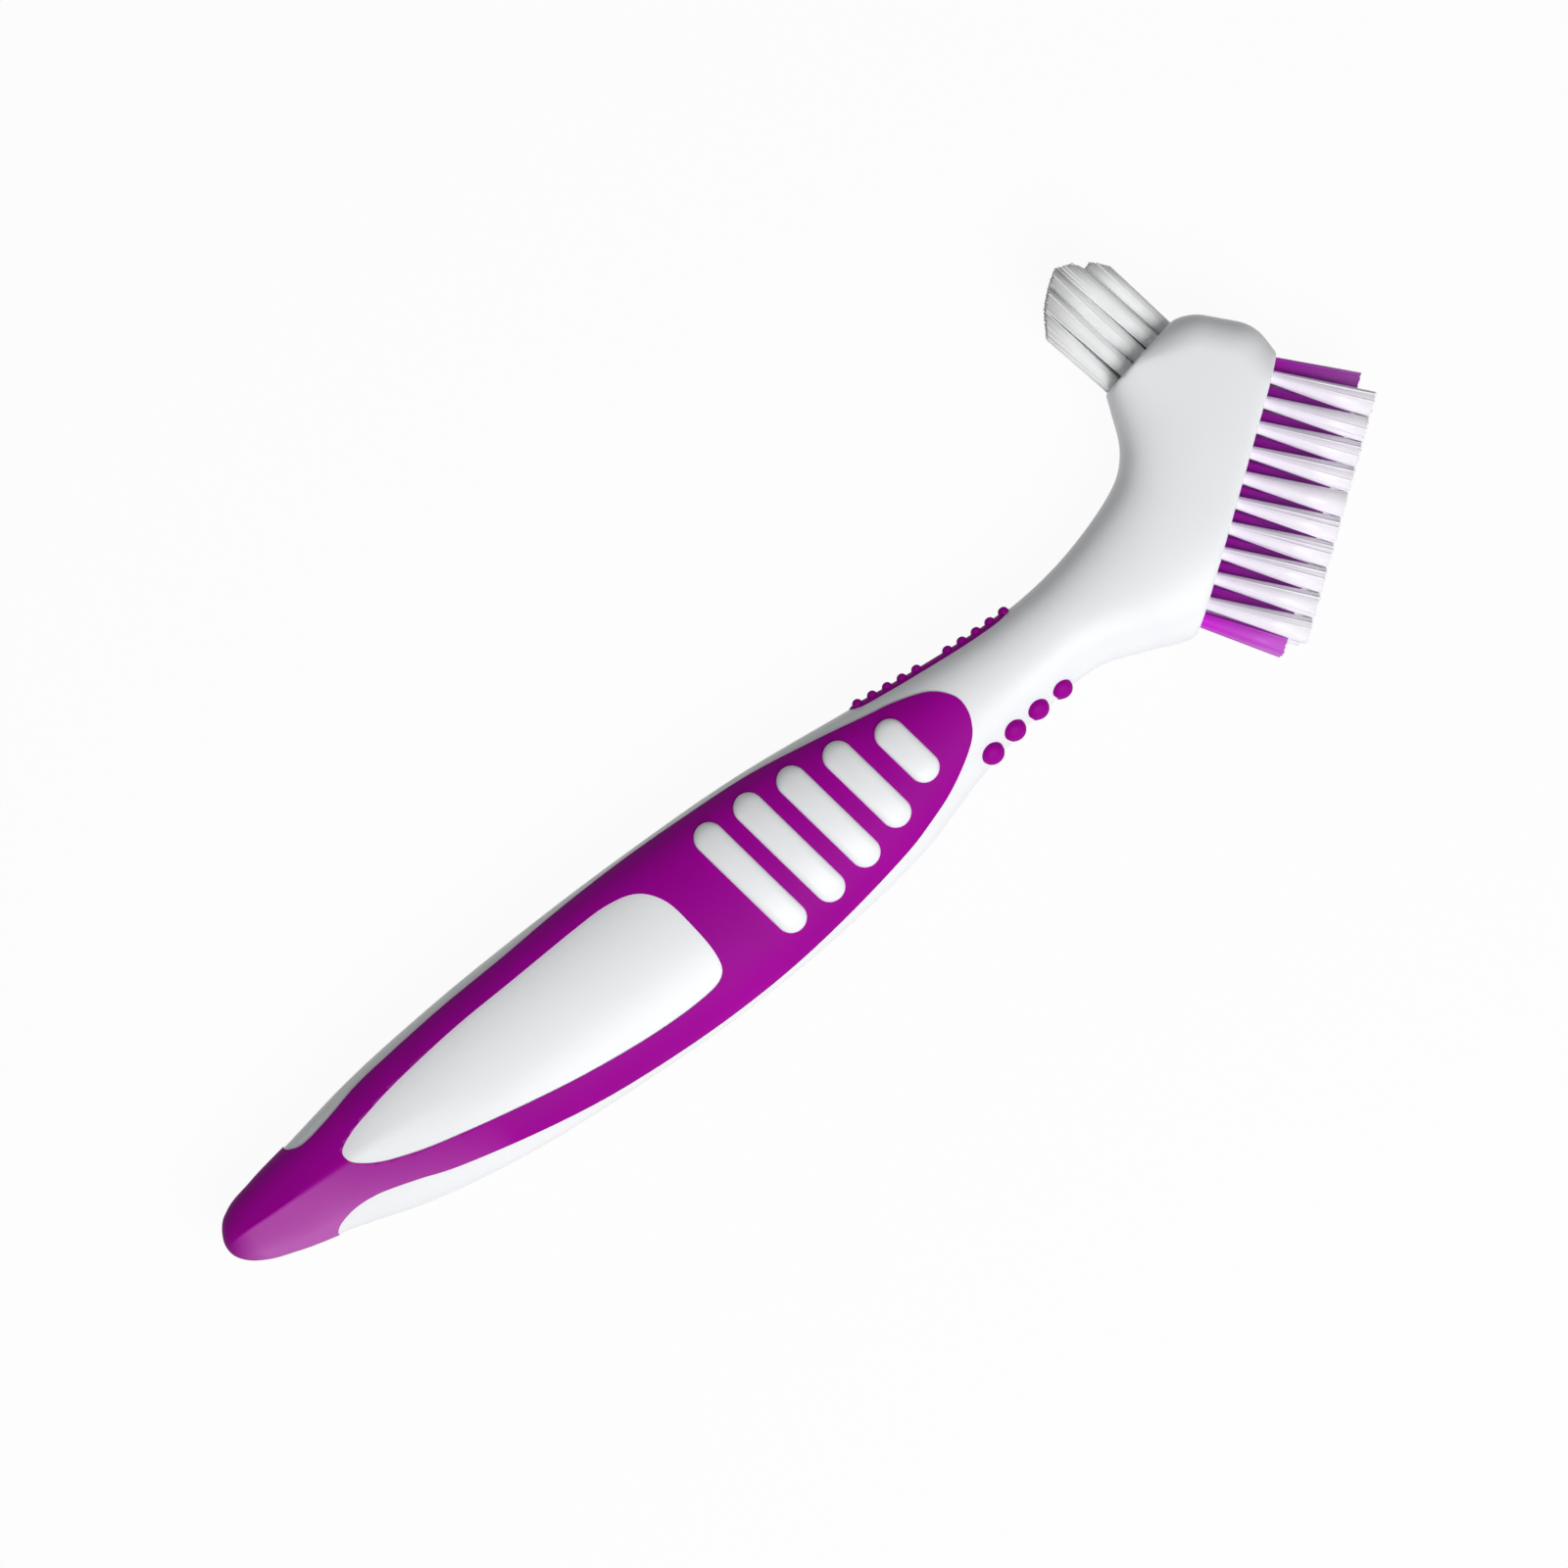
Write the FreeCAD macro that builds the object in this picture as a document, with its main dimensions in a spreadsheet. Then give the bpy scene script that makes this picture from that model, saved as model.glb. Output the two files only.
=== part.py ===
"""Denture brush: two-shot moulded handle, large two-colour brush and small brush.

The handle lies along X with its tail at low X, and rests on its broad side on Z = 0.
Plan dimensions are written in the handle's own plan frame: "along" runs from the tail to
the head and "across" runs towards the edge that carries the thumb pad. The plan frame's
zero is shifted so that the row's origin is under the middle of the whole brush.
"""
import FreeCAD
import Part
import math
import os
import Sketcher
from FreeCAD import Placement, Rotation, Vector

doc = FreeCAD.newDocument("denture_brush")
sheet = doc.addObject("Spreadsheet::Sheet", "sizes")

# Driving dimensions in millimetres and degrees: alias, value, what it is.
SIZES = [
    ("plan_shift_along", 91.56, "middle of the whole brush along the handle"),
    ("plan_shift_across", 7.8, "middle of the whole brush across the handle"),
    ("rest_height", 8.0, "mid-plane above the surface that the brush lies on"),
    ("head_thickness", 16.0, "broad side to broad side at the head"),
    ("back_corner_radius", 2.0, "rounding of the head's back corners in plan"),
    ("head_edge_radius", 3.6, "rounding of the head's back edge"),
    ("skin_thickness", 1.4, "soft plastic over the core"),
    ("web_thickness", 2.2, "white web between the near and the far panel"),
    ("neck_end_gap", 8.0, "slimmest section of the neck to the start of the head"),
    ("rib_width", 4.1, "raised rib of the thumb field"),
    ("rib_rise", 0.7, "rib above the soft panel"),
    ("rib_depth", 3.0, "rib root below the soft panel"),
    ("rib_tilt", 9.4, "ribs against the handle's cross direction"),
    ("pad_start", 105.4, "thumb pad, tail end"),
    ("pad_end", 129.8, "thumb pad, head end"),
    ("pad_width", 4.6, "thumb pad, side to side"),
    ("pad_thickness", 1.3, "thumb pad, depth in the neck"),
    ("nub_radius", 0.66, "cross nub on the thumb pad"),
    ("nub_length", 3.6, "cross nub, end to end"),
    ("nub_pitch", 2.2, "cross nubs, centre to centre"),
    ("dot_radius", 1.5, "finger dot at its base"),
    ("dot_height", 0.9, "finger dot above the neck"),
    ("dot_bevel", 0.6, "bevel round a finger dot's head"),
    ("dot_stem_depth", 1.2, "finger dot below the neck's surface"),
    ("dot_pitch", 4.07, "finger dots, centre to centre"),
    ("dot_start", 116.9, "first finger dot along the handle"),
    ("dot_inset", 0.65, "finger dots inside the lower edge"),
    ("tuft_root_radius", 0.95, "tuft where it leaves its socket, across corners"),
    ("socket_depth", 3.4, "tuft socket"),
    ("anchor_thickness", 0.3, "metal anchor plate"),
    ("anchor_height", 1.6, "metal anchor plate, up from the socket's floor"),
    ("large_pitch", 3.36, "large brush, like lines centre to centre"),
    ("outer_row_offset", 4.95, "white rows from the mid-plane"),
    ("inner_row_offset", 1.65, "purple rows from the mid-plane"),
    ("white_length", 13.7, "white tuft above the brush face"),
    ("white_splay", 2.75, "half angle of a white tuft"),
    ("purple_length", 11.4, "purple tuft above the brush face"),
    ("purple_splay", 1.9, "half angle of a purple tuft"),
    ("large_middle", 18.6, "middle of the large brush from its face's lower corner"),
    ("small_pitch", 2.42, "small brush, columns centre to centre"),
    ("small_row_offset", 2.5, "small brush, rows centre to centre"),
    ("small_splay", 1.2, "half angle of a small-brush tuft"),
    ("small_middle", 5.95, "middle of the small brush from its face's left corner"),
]

# Lines of the handle, tail to neck. Each station has its gap from the one before, the
# upper and lower edge of the outline, half the thickness, and the crest's fold angle.
# The panel and window columns are margins from the upper and the lower edge.
STATIONS = [
    ("tail_tip", -0.95, -0.15, -1.85, 0.8, 10, None, None),
    ("tail_nose", 0.75, 1.4, -3.2, 2.2, 16, None, None),
    ("tail_round", 2.0, 2.5, -4.9, 3.2, 20, None, None),
    ("tail_ridge", 4.7, 3.9, -6.85, 4.4, 20, None, None),
    ("cap_end", 7.5, 5.2, -8.9, 5.5, 15, None, None),
    ("window_start", 10.0, 6.95, -12.0, 6.3, 6, (1.35, 3.75), (4.4, 7.3)),
    ("fore_belly", 14.0, 8.35, -14.6, 6.9, 0, (0.95, 2.2), (4.2, 6.2)),
    ("near_belly", 17.0, 9.15, -16.0, 7.25, 0, (0.85, 0.9), (4.05, 4.8)),
    ("belly", 17.0, 9.3, -16.5, 7.35, 0, (0.45, 0.8), None),
    ("past_belly", 17.0, 8.75, -15.5, 7.2, 0, (0.7, 1.1), None),
    ("shoulder", 14.0, 7.3, -13.45, 6.85, 0, (1.55, 1.85), None),
    ("nape", 12.0, 5.9, -10.0, 6.2, 0, None, None),
    ("neck", 12.0, 5.15, -8.0, 5.6, 0, None, None),
]


def fill_sheet():
    """Write every driving dimension into the spreadsheet, with its alias."""
    rows = list(SIZES)
    for name, gap, upper, lower, half, fold, panel, window in STATIONS:
        rows.append((name + "_gap", gap, "station gap"))
        rows.append((name + "_upper", upper, "outline, upper edge"))
        rows.append((name + "_lower", lower, "outline, lower edge"))
        rows.append((name + "_half", half, "half thickness"))
        if panel:
            rows.append((name + "_panel_up", panel[0], "panel margin, upper"))
            rows.append((name + "_panel_low", panel[1], "panel margin, lower"))
        if window:
            rows.append((name + "_window_up", window[0], "window margin, upper"))
            rows.append((name + "_window_low", window[1], "window margin, lower"))
    for number, (alias, value, note) in enumerate(rows, start=1):
        sheet.set("A%d" % number, note)
        sheet.set("B%d" % number, str(value))
        sheet.setAlias("B%d" % number, alias)
    doc.recompute()


fill_sheet()


def size(alias):
    """One driving dimension as a plain number."""
    return float(getattr(sheet, alias))


def station_positions():
    """Distance of each station along the handle, from the plan frame's zero."""
    along = 0.0
    found = {}
    for row in STATIONS:
        along += size(row[0] + "_gap")
        found[row[0]] = along
    found["head"] = along + size("neck_end_gap")
    return found


ALONG = station_positions()
SHIFT = Vector(-size("plan_shift_along"), -size("plan_shift_across"), size("rest_height"))
SHIFT_TEXT = ("-sizes.plan_shift_along", "-sizes.plan_shift_across", "sizes.rest_height")


def plan(along, across, height=0.0):
    """A point of the plan frame, as a point of the row."""
    return Vector(along, across, height) + SHIFT


# The head's lines: upper and lower end of each section, from the neck's end, with half
# the thickness and the fullness of the curve between its edges. The last ones run past
# the brush faces, which cut them off.
HEAD_SECTIONS = [
    ((0.0, 5.6), (0.5, -7.9), 5.75, 0.60),
    ((5.0, 6.5), (6.0, -9.9), 6.2, 0.63),
    ((10.0, 7.9), (11.4, -12.0), 6.9, 0.67),
    ((15.0, 9.9), (19.5, -12.3), 7.8, 0.72),
    ((18.3, 12.7), (31.0, -7.0), 8.4, 0.76),
    ((20.6, 17.7), (45.0, 3.0), 8.7, 0.78),
    ((21.9, 21.5), (52.0, 15.0), 8.8, 0.80),
    ((22.4, 27.0), (54.0, 33.0), 8.8, 0.80),
]
# Corners of the head in plan, from the neck's end.
LARGE_FACE_LOW = (12.9, -11.6)
LARGE_FACE_HIGH = (42.1, 11.2)
BACK_EDGE_LOW = (42.0, 15.9)
BACK_EDGE_HIGH = (36.0, 22.3)
SMALL_FACE_RIGHT = (33.7, 22.6)
SMALL_FACE_LEFT = (21.9, 20.2)

# How far construction blanks reach past the form, and how close counts as the same place.
OUTSIDE = 6.0
NEAR = 0.1

CREST_SHARE = 0.55
SIDES_PER_QUARTER = 5
# The core under the soft skin is plainer: fewer stations, and fewer sides to a section.
CORE_STATIONS = ["tail_ridge", "window_start", "near_belly", "past_belly", "neck"]
CORE_SIDES = 2
OVAL_FULLNESS = 0.56
BELLY_FULLNESS = 0.60


def head_point(corner, height=0.0):
    """A corner of the head, as a point of the row."""
    return plan(ALONG["head"] + corner[0], corner[1], height)


def handle_sections():
    """Each section as upper end, lower end, crest share, half thickness, fullness, fold."""
    sections = []
    for name, _gap, _up, _low, _half, fold, _panel, _window in STATIONS:
        fullness = OVAL_FULLNESS if fold else BELLY_FULLNESS
        sections.append((
            plan(ALONG[name], size(name + "_upper")),
            plan(ALONG[name], size(name + "_lower")),
            CREST_SHARE if fold else 0.5,
            size(name + "_half"),
            fullness,
            math.radians(fold),
        ))
    for upper, lower, half, fullness in HEAD_SECTIONS:
        sections.append((head_point(upper), head_point(lower), 0.5, half, fullness, 0.0))
    return sections


def section_corners(upper, lower, crest, half, fullness, fold, sides=SIDES_PER_QUARTER):
    """The corners of the closed section between two edge points, as short straight sides."""
    across = (upper - lower).normalize()
    height = Vector(0, 0, 1)
    ridge = lower + (upper - lower) * crest
    near = ridge + height * half
    far = ridge - height * half

    def quarter(edge, crown, side, way):
        reach = fullness * (edge - ridge).Length
        crown_lead = across * (way * reach * math.cos(fold))
        crown_drop = height * (side * reach * math.sin(fold))
        edge_lead = height * (side * fullness * half)
        return [edge, edge + edge_lead, crown + crown_lead - crown_drop, crown]

    quarters = [
        quarter(upper, near, 1, 1),
        quarter(lower, near, 1, -1)[::-1],
        quarter(lower, far, -1, -1),
        quarter(upper, far, -1, 1)[::-1],
    ]
    corners = []
    for poles in quarters:
        curve = Part.BezierCurve()
        curve.setPoles(poles)
        corners += [curve.value(step / sides) for step in range(sides)]
    return corners


def skin(rows):
    """A closed solid, ruled from section to section. Each row lists its corners."""
    faces = []
    for row, following in zip(rows, rows[1:]):
        for i in range(len(row)):
            strip = [[row[i - 1], row[i]], [following[i - 1], following[i]]]
            surface = Part.BSplineSurface()
            surface.buildFromPolesMultsKnots(
                strip, [2, 2], [2, 2], [0.0, 1.0], [0.0, 1.0], False, False, 1, 1)
            faces.append(surface.toShape())
    for row in (rows[0], rows[-1]):
        faces.append(Part.Face(Part.makePolygon(row + row[:1])))
    shell = Part.makeShell(faces)
    shell.sewShape()
    solid = Part.makeSolid(shell)
    if solid.Volume < 0:
        solid.reverse()
    return solid


def form_feature(name, shape):
    """A document object that holds a shape made by the functions above."""
    feature = doc.addObject("Part::Feature", name)
    feature.Shape = shape
    return feature


def operation(kind, name, base, tool):
    """A cut or a common part of two objects."""
    result = doc.addObject(kind, name)
    result.Base = base
    result.Tool = tool
    return result


def union(name, parts):
    """A fused object of several."""
    result = doc.addObject("Part::MultiFuse", name)
    result.Shapes = parts
    return result


def base_plane(body):
    """A body's own XY plane."""
    return [item for item in body.Origin.OriginFeatures if item.Role == "XY_Plane"][0]


def local_sketch(body, name):
    """A sketch in a body's own base plane."""
    sketch = body.newObject("Sketcher::SketchObject", name)
    sketch.AttachmentSupport = [(base_plane(body), "")]
    sketch.MapMode = "FlatFace"
    return sketch


def plan_sketch(body, name):
    """A sketch in the mid-plane, in plan dimensions."""
    sketch = local_sketch(body, name)
    for axis, text in zip("xyz", SHIFT_TEXT):
        sketch.setExpression("AttachmentOffset.Base." + axis, text)
    return sketch


def add_closed_line(sketch, corners):
    """A closed run of straight lines in a sketch, joined at its corners."""
    first = sketch.GeometryCount
    count = len(corners)
    for start, end in zip(corners, corners[1:] + corners[:1]):
        sketch.addGeometry(Part.LineSegment(Vector(*start, 0), Vector(*end, 0)))
    for i in range(count):
        following = first + (i + 1) % count
        sketch.addConstraint(Sketcher.Constraint("Coincident", first + i, 2, following, 1))
    return first


def add_run(sketch, first, middle, last):
    """An arc or a line through three points. Returns its ends at the first and last point."""
    a, b, c = (Vector(*point, 0) for point in (first, middle, last))
    turn = (b - a).cross(c - b).z
    if abs(turn) < 1e-6:
        index = sketch.addGeometry(Part.LineSegment(a, c))
        return (index, 1), (index, 2)
    circle = Part.Arc(a, b, c).toShape().Curve
    centre = Vector(circle.Center.x, circle.Center.y, 0)
    start, end = (a, c) if turn > 0 else (c, a)
    angles = [math.atan2(point.y - centre.y, point.x - centre.x) for point in (start, end)]
    arc = Part.ArcOfCircle(Part.Circle(centre, Vector(0, 0, 1), circle.Radius), *angles)
    index = sketch.addGeometry(arc)
    return ((index, 1), (index, 2)) if turn > 0 else ((index, 2), (index, 1))


def add_arc_outline(sketch, points, corners):
    """Arcs through each three points on end, closed by straight lines over some corners."""
    path = points if corners else points + points[:1]
    runs = [add_run(sketch, *path[i:i + 3]) for i in range(0, len(path) - 2, 2)]
    closing = [points[-1]] + corners + [points[0]]
    if corners:
        for start, end in zip(closing, closing[1:]):
            line = sketch.addGeometry(Part.LineSegment(Vector(*start, 0), Vector(*end, 0)))
            runs.append(((line, 1), (line, 2)))
    for before, after in zip(runs, runs[1:] + runs[:1]):
        sketch.addConstraint(Sketcher.Constraint("Coincident", *before[1], *after[0]))


def new_body(name):
    """An empty body that may hold several solids."""
    body = doc.addObject("PartDesign::Body", name)
    body.AllowCompound = True
    return body


def pad(body, sketch, name, length, midplane=False, reverse=False):
    """A pad of a sketch, with its length bound to a size."""
    feature = body.newObject("PartDesign::Pad", name)
    feature.Profile = sketch
    feature.Midplane = midplane
    feature.Reversed = reverse
    feature.setExpression("Length", length)
    return feature


def upper_edge(name):
    """A station's upper outline point in plan."""
    return ALONG[name], size(name + "_upper")


def lower_edge(name):
    """A station's lower outline point in plan."""
    return ALONG[name], size(name + "_lower")


def inset(name, column, sign):
    """A point inside a station's upper (sign +1) or lower (sign -1) edge."""
    if sign > 0:
        return ALONG[name], size(name + "_upper") - size(name + "_" + column + "_up")
    return ALONG[name], size(name + "_lower") + size(name + "_" + column + "_low")


def offset(point, along, across):
    """A plan point moved along and across the handle."""
    return point[0] + along, point[1] + across


PANEL_STATIONS = ["window_start", "fore_belly", "near_belly", "belly", "past_belly", "shoulder"]
WINDOW_STATIONS = ["window_start", "fore_belly", "near_belly"]


def panel_points():
    """The soft panel's edge, from the cap's upper corner round the nose and back."""
    cap_up = upper_edge("cap_end")
    cap_low = lower_edge("cap_end")
    nose = upper_edge("nape")
    upper = [offset(cap_up, -1.6, 1.5), offset(cap_up, -1.2, -0.35), offset(cap_up, 0.3, -1.15)]
    upper += [offset(cap_up, 3.4, -0.95), offset(cap_up, 6.4, -0.5)]
    upper += [inset(name, "panel", 1) for name in PANEL_STATIONS]
    around = [offset(nose, -4.6, -1.4), offset(nose, -0.2, -3.1), offset(nose, 2.0, -5.3)]
    around += [offset(nose, 2.6, -7.2), offset(nose, 1.8, -9.9), offset(nose, -0.2, -12.1)]
    around += [offset(nose, -4.9, -15.0)]
    lower = [inset(name, "panel", -1) for name in reversed(PANEL_STATIONS)]
    lower += [offset(cap_low, 5.6, 1.75), offset(cap_low, 3.0, 2.1), offset(cap_low, 0.7, 2.0)]
    lower += [offset(cap_low, -1.4, 1.2), offset(cap_low, -2.6, -0.8)]
    return upper + around + lower


def window_points():
    """The white window's edge, from its pointed tail end and back to it."""
    tip = (ALONG["window_start"] - 5.3, -0.7)
    blunt = ALONG["belly"]
    upper = [tip, offset(tip, 0.7, 1.0), offset(tip, 2.1, 2.0)]
    upper += [inset(name, "window", 1) for name in WINDOW_STATIONS]
    end = [(blunt - 9.3, 5.4), (blunt - 4.7, 4.9), (blunt - 1.3, 3.0), (blunt + 0.3, -0.8)]
    end += [(blunt + 1.0, -6.0), (blunt + 0.7, -9.7), (blunt - 1.7, -11.4), (blunt - 7.0, -11.8)]
    lower = [inset(name, "window", -1) for name in reversed(WINDOW_STATIONS)]
    lower += [offset(tip, 2.2, -2.6)]
    return upper + end + lower


def make_forms():
    """The whole outer form, cut to the head's plan, and the core under the soft skin."""
    sections = handle_sections()
    hull = form_feature("outer_hull", skin([section_corners(*s) for s in sections]))
    blank = new_body("head_blank")
    sketch = plan_sketch(blank, "head_plan")
    reach = ALONG["head"]
    tail = ALONG["tail_tip"] - OUTSIDE
    deep = size("belly_lower") - OUTSIDE
    wide = SMALL_FACE_RIGHT[1] + OUTSIDE
    start = offset(LARGE_FACE_LOW, reach, 0)
    slope = (LARGE_FACE_HIGH[1] - LARGE_FACE_LOW[1]) / (LARGE_FACE_HIGH[0] - LARGE_FACE_LOW[0])
    below = (start[0] + (deep - start[1]) / slope, deep)
    corners = [below]
    for corner in (LARGE_FACE_HIGH, BACK_EDGE_LOW, BACK_EDGE_HIGH, SMALL_FACE_RIGHT):
        corners.append(offset(corner, reach, 0))
    slope = (SMALL_FACE_RIGHT[1] - SMALL_FACE_LEFT[1]) / (SMALL_FACE_RIGHT[0] - SMALL_FACE_LEFT[0])
    left = offset(SMALL_FACE_LEFT, reach - OUTSIDE, -OUTSIDE * slope)
    corners += [left, (left[0], wide), (tail, wide), (tail, deep)]
    add_closed_line(sketch, corners)
    pad(blank, sketch, "head_slab", "sizes.head_thickness", midplane=True)
    doc.recompute()
    round_back_edge(blank, head_point(BACK_EDGE_LOW), head_point(BACK_EDGE_HIGH))
    form = operation("Part::Common", "outer_form", hull, blank)

    depth = size("skin_thickness")
    core_rows = []
    for row, section in zip(STATIONS, sections):
        if row[0] in CORE_STATIONS:
            upper, lower, crest, half, fullness, fold = section
            step = (upper - lower).normalize() * depth
            core_rows.append(section_corners(
                upper - step, lower + step, crest, half - depth, fullness, fold, CORE_SIDES))
    core = form_feature("core", skin(core_rows))
    return form, core


def round_back_edge(body, low, high):
    """Round the head's back corners in plan, then the back's edges to both broad sides."""
    slab = body.Tip
    upright = []
    for number, edge in enumerate(slab.Shape.Edges, start=1):
        foot = Vector(edge.CenterOfMass.x, edge.CenterOfMass.y, low.z)
        if min(foot.distanceToPoint(low), foot.distanceToPoint(high)) < NEAR:
            upright.append("Edge%d" % number)
    corner = body.newObject("PartDesign::Fillet", "back_corners")
    corner.Base = (slab, upright)
    corner.setExpression("Radius", "sizes.back_corner_radius")
    doc.recompute()
    middle = (low + high) * 0.5
    reach = (high - low).Length / 2 + size("back_corner_radius")
    rims = []
    for number, edge in enumerate(corner.Shape.Edges, start=1):
        spot = edge.CenterOfMass
        height = abs(spot.z - low.z)
        spot.z = middle.z
        if abs(height - size("head_thickness") / 2) < NEAR and spot.distanceToPoint(middle) < reach:
            rims.append("Edge%d" % number)
    edge_round = body.newObject("PartDesign::Fillet", "back_rounding")
    edge_round.Base = (corner, rims)
    edge_round.setExpression("Radius", "sizes.head_edge_radius")


def surface_height(shape, along, across):
    """Height of a form's near side over the mid-plane, at a plan point."""
    foot = plan(along, across)
    line = Part.makeLine(foot, foot + Vector(0, 0, size("head_thickness")))
    return line.common(shape).Length


RIB_END_SIDES = 4


def make_rib(form, number, middle, length):
    """One raised rib: a round-ended bar with its top bent to follow the handle's crown."""
    tilt = math.radians(size("rib_tilt"))
    run = Vector(-math.sin(tilt), math.cos(tilt), 0)
    sideways = Vector(math.cos(tilt), math.sin(tilt), 0)
    crest = []
    for reach in (-length / 2, 0.0, length / 2):
        spot = Vector(middle[0], middle[1], 0) + run * reach
        rise = surface_height(form.Shape, spot.x, spot.y) + size("rib_rise")
        crest.append(plan(spot.x, spot.y, rise))
    bend = Part.Arc(*crest).toShape().Curve

    bar = new_body("rib_%d_bar" % number)
    sketch = local_sketch(bar, "rib_%d_plan" % number)
    half = size("rib_width") / 2
    corners = []
    for end, first in ((length / 2, 0.0), (-length / 2, math.pi)):
        for i in range(RIB_END_SIDES + 1):
            turn = first + math.pi * i / RIB_END_SIDES
            corners.append((half * math.cos(turn), end + half * math.sin(turn)))
    add_closed_line(sketch, corners)
    pad(bar, sketch, "rib_%d_pad" % number, "sizes.head_thickness")
    low = min(crest[0].z, crest[2].z) - size("rib_rise") - size("rib_depth")
    root = Vector(middle[0], middle[1], 0) + SHIFT
    root.z = low
    bar.Placement = Placement(root, Rotation(sideways, run, Vector(0, 0, 1), "ZXY"))

    crown = doc.addObject("Part::Cylinder", "rib_%d_crown" % number)
    crown.Radius = bend.Radius
    crown.setExpression("Height", "2 * sizes.rib_width")
    start = Vector(bend.Center) - sideways * size("rib_width")
    crown.Placement = Placement(start, Rotation(run, Vector(), sideways, "ZXY"))
    return operation("Part::Common", "rib_%d" % number, bar, crown)


# Ribs of the thumb field: middle from the belly station, and the length between the
# centres of the round ends.
RIBS = [
    ((10.25, -2.78), 14.65),
    ((16.60, -2.63), 14.45),
    ((23.00, -2.45), 13.00),
    ((29.45, -2.05), 10.25),
    ((36.15, -1.65), 6.00),
]


def mirrored(name, source):
    """The same pieces on the handle's other broad side."""
    copy = doc.addObject("Part::Mirroring", name)
    copy.Source = source
    copy.Normal = Vector(0, 0, 1)
    copy.Base = Vector(0, 0, size("rest_height"))
    return copy


def make_grip(form, core):
    """The soft grip: both panels and the tail cap, round the core, window and ribs."""
    panel = new_body("panel_blank")
    sketch = plan_sketch(panel, "panel_plan")
    behind = ALONG["tail_tip"] - OUTSIDE
    above = size("belly_upper") + OUTSIDE
    below = size("belly_lower")
    points = panel_points()
    corners = [(points[-1][0], below), (behind, below), (behind, above), (points[0][0], above)]
    add_arc_outline(sketch, points, corners)
    pad(panel, sketch, "panel_pad", "2 * sizes.head_thickness", midplane=True)

    window = new_body("window_blank")
    sketch = plan_sketch(window, "window_plan")
    add_arc_outline(sketch, window_points(), [])
    pad(window, sketch, "window_pad", "2 * sizes.head_thickness", midplane=True)

    web = doc.addObject("Part::Box", "web_blank")
    web.setExpression("Height", "sizes.web_thickness")
    web.setExpression("Placement.Base.z", "sizes.rest_height - sizes.web_thickness / 2")
    web.Placement.Base = plan(ALONG["cap_end"] - 1.0, size("belly_lower") - OUTSIDE)
    web.Length = ALONG["neck"] - ALONG["cap_end"]
    web.Width = size("belly_upper") - size("belly_lower") + 2 * OUTSIDE

    doc.recompute()
    bars = []
    for number, (middle, length) in enumerate(RIBS, start=1):
        spot = offset(middle, ALONG["belly"], 0)
        bars.append(make_rib(form, number, spot, length))
    near_ribs = union("near_ribs", bars)
    far_ribs = mirrored("far_ribs", near_ribs)
    hard = union("hard_inside_panel", [core, window, web, near_ribs, far_ribs])
    inside = operation("Part::Common", "form_inside_panel", form, panel)
    grip = operation("Part::Cut", "grip_shell", inside, hard)
    return grip, [near_ribs, far_ribs]


def outline_height(along, column):
    """The outline's upper or lower edge between two stations."""
    names = [row[0] for row in STATIONS]
    edge = [(ALONG[name], size(name + "_" + column)) for name in names]
    first = HEAD_SECTIONS[0][0 if column == "upper" else 1]
    edge.append((ALONG["head"], first[1]))
    for (x0, y0), (x1, y1) in zip(edge, edge[1:]):
        if x0 <= along <= x1:
            return y0 + (y1 - y0) * (along - x0) / (x1 - x0)
    raise ValueError("no outline at %s" % along)


# Cross nubs on the thumb pad: first nub of each group of five, from the pad's tail end.
NUB_GROUPS = (1.3, 14.8)
NUBS_PER_GROUP = 5
NUB_SIDES = 8


def make_thumb_pad(form):
    """The soft strip on the upper edge of the neck, with its cross nubs."""
    band = new_body("pad_band")
    sketch = plan_sketch(band, "pad_floor")
    depth = size("pad_thickness")
    floor = []
    for name in ("shoulder", "nape", "neck"):
        floor.append((ALONG[name], size(name + "_upper") - depth))
    floor.append((ALONG["head"], HEAD_SECTIONS[0][0][1] - depth))
    top = size("belly_upper") + OUTSIDE
    add_closed_line(sketch, floor + [(ALONG["head"], top), (ALONG["shoulder"], top)])
    pad(band, sketch, "pad_band_pad", "sizes.pad_width", midplane=True)

    middle = doc.addObject("Part::Box", "pad_middle")
    middle.setExpression("Length", "sizes.pad_end - sizes.pad_start - sizes.pad_width")
    middle.setExpression("Height", "sizes.pad_width")
    middle.Width = 2 * OUTSIDE
    half = size("pad_width") / 2
    middle.Placement.Base = plan(size("pad_start") + half, 0, -half)
    pieces = [middle]
    for name, along in (("pad_tail_end", size("pad_start") + half),
                        ("pad_head_end", size("pad_end") - half)):
        end = doc.addObject("Part::Cylinder", name)
        end.setExpression("Radius", "sizes.pad_width / 2")
        end.Height = 2 * OUTSIDE
        end.Placement = Placement(plan(along, 0), Rotation(Vector(1, 0, 0), -90))
        pieces.append(end)
    stadium = union("pad_stadium", pieces)
    band_in_form = operation("Part::Common", "pad_in_form", form, band)
    strip = operation("Part::Common", "pad_strip", band_in_form, stadium)
    nubs = []
    for start in NUB_GROUPS:
        for number in range(NUBS_PER_GROUP):
            along = size("pad_start") + start + number * size("nub_pitch")
            nub = doc.addObject("Part::Prism", "nub")
            nub.Polygon = NUB_SIDES
            nub.setExpression("Circumradius", "sizes.nub_radius")
            nub.setExpression("Height", "sizes.nub_length")
            across = outline_height(along, "upper")
            nub.Placement.Base = plan(along, across, -size("nub_length") / 2)
            nubs.append(nub)
    return union("thumb_pad", [strip] + nubs)


DOT_COUNT = 4
DOT_SIDES = 10
DOT_LEAN = 38.0


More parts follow.
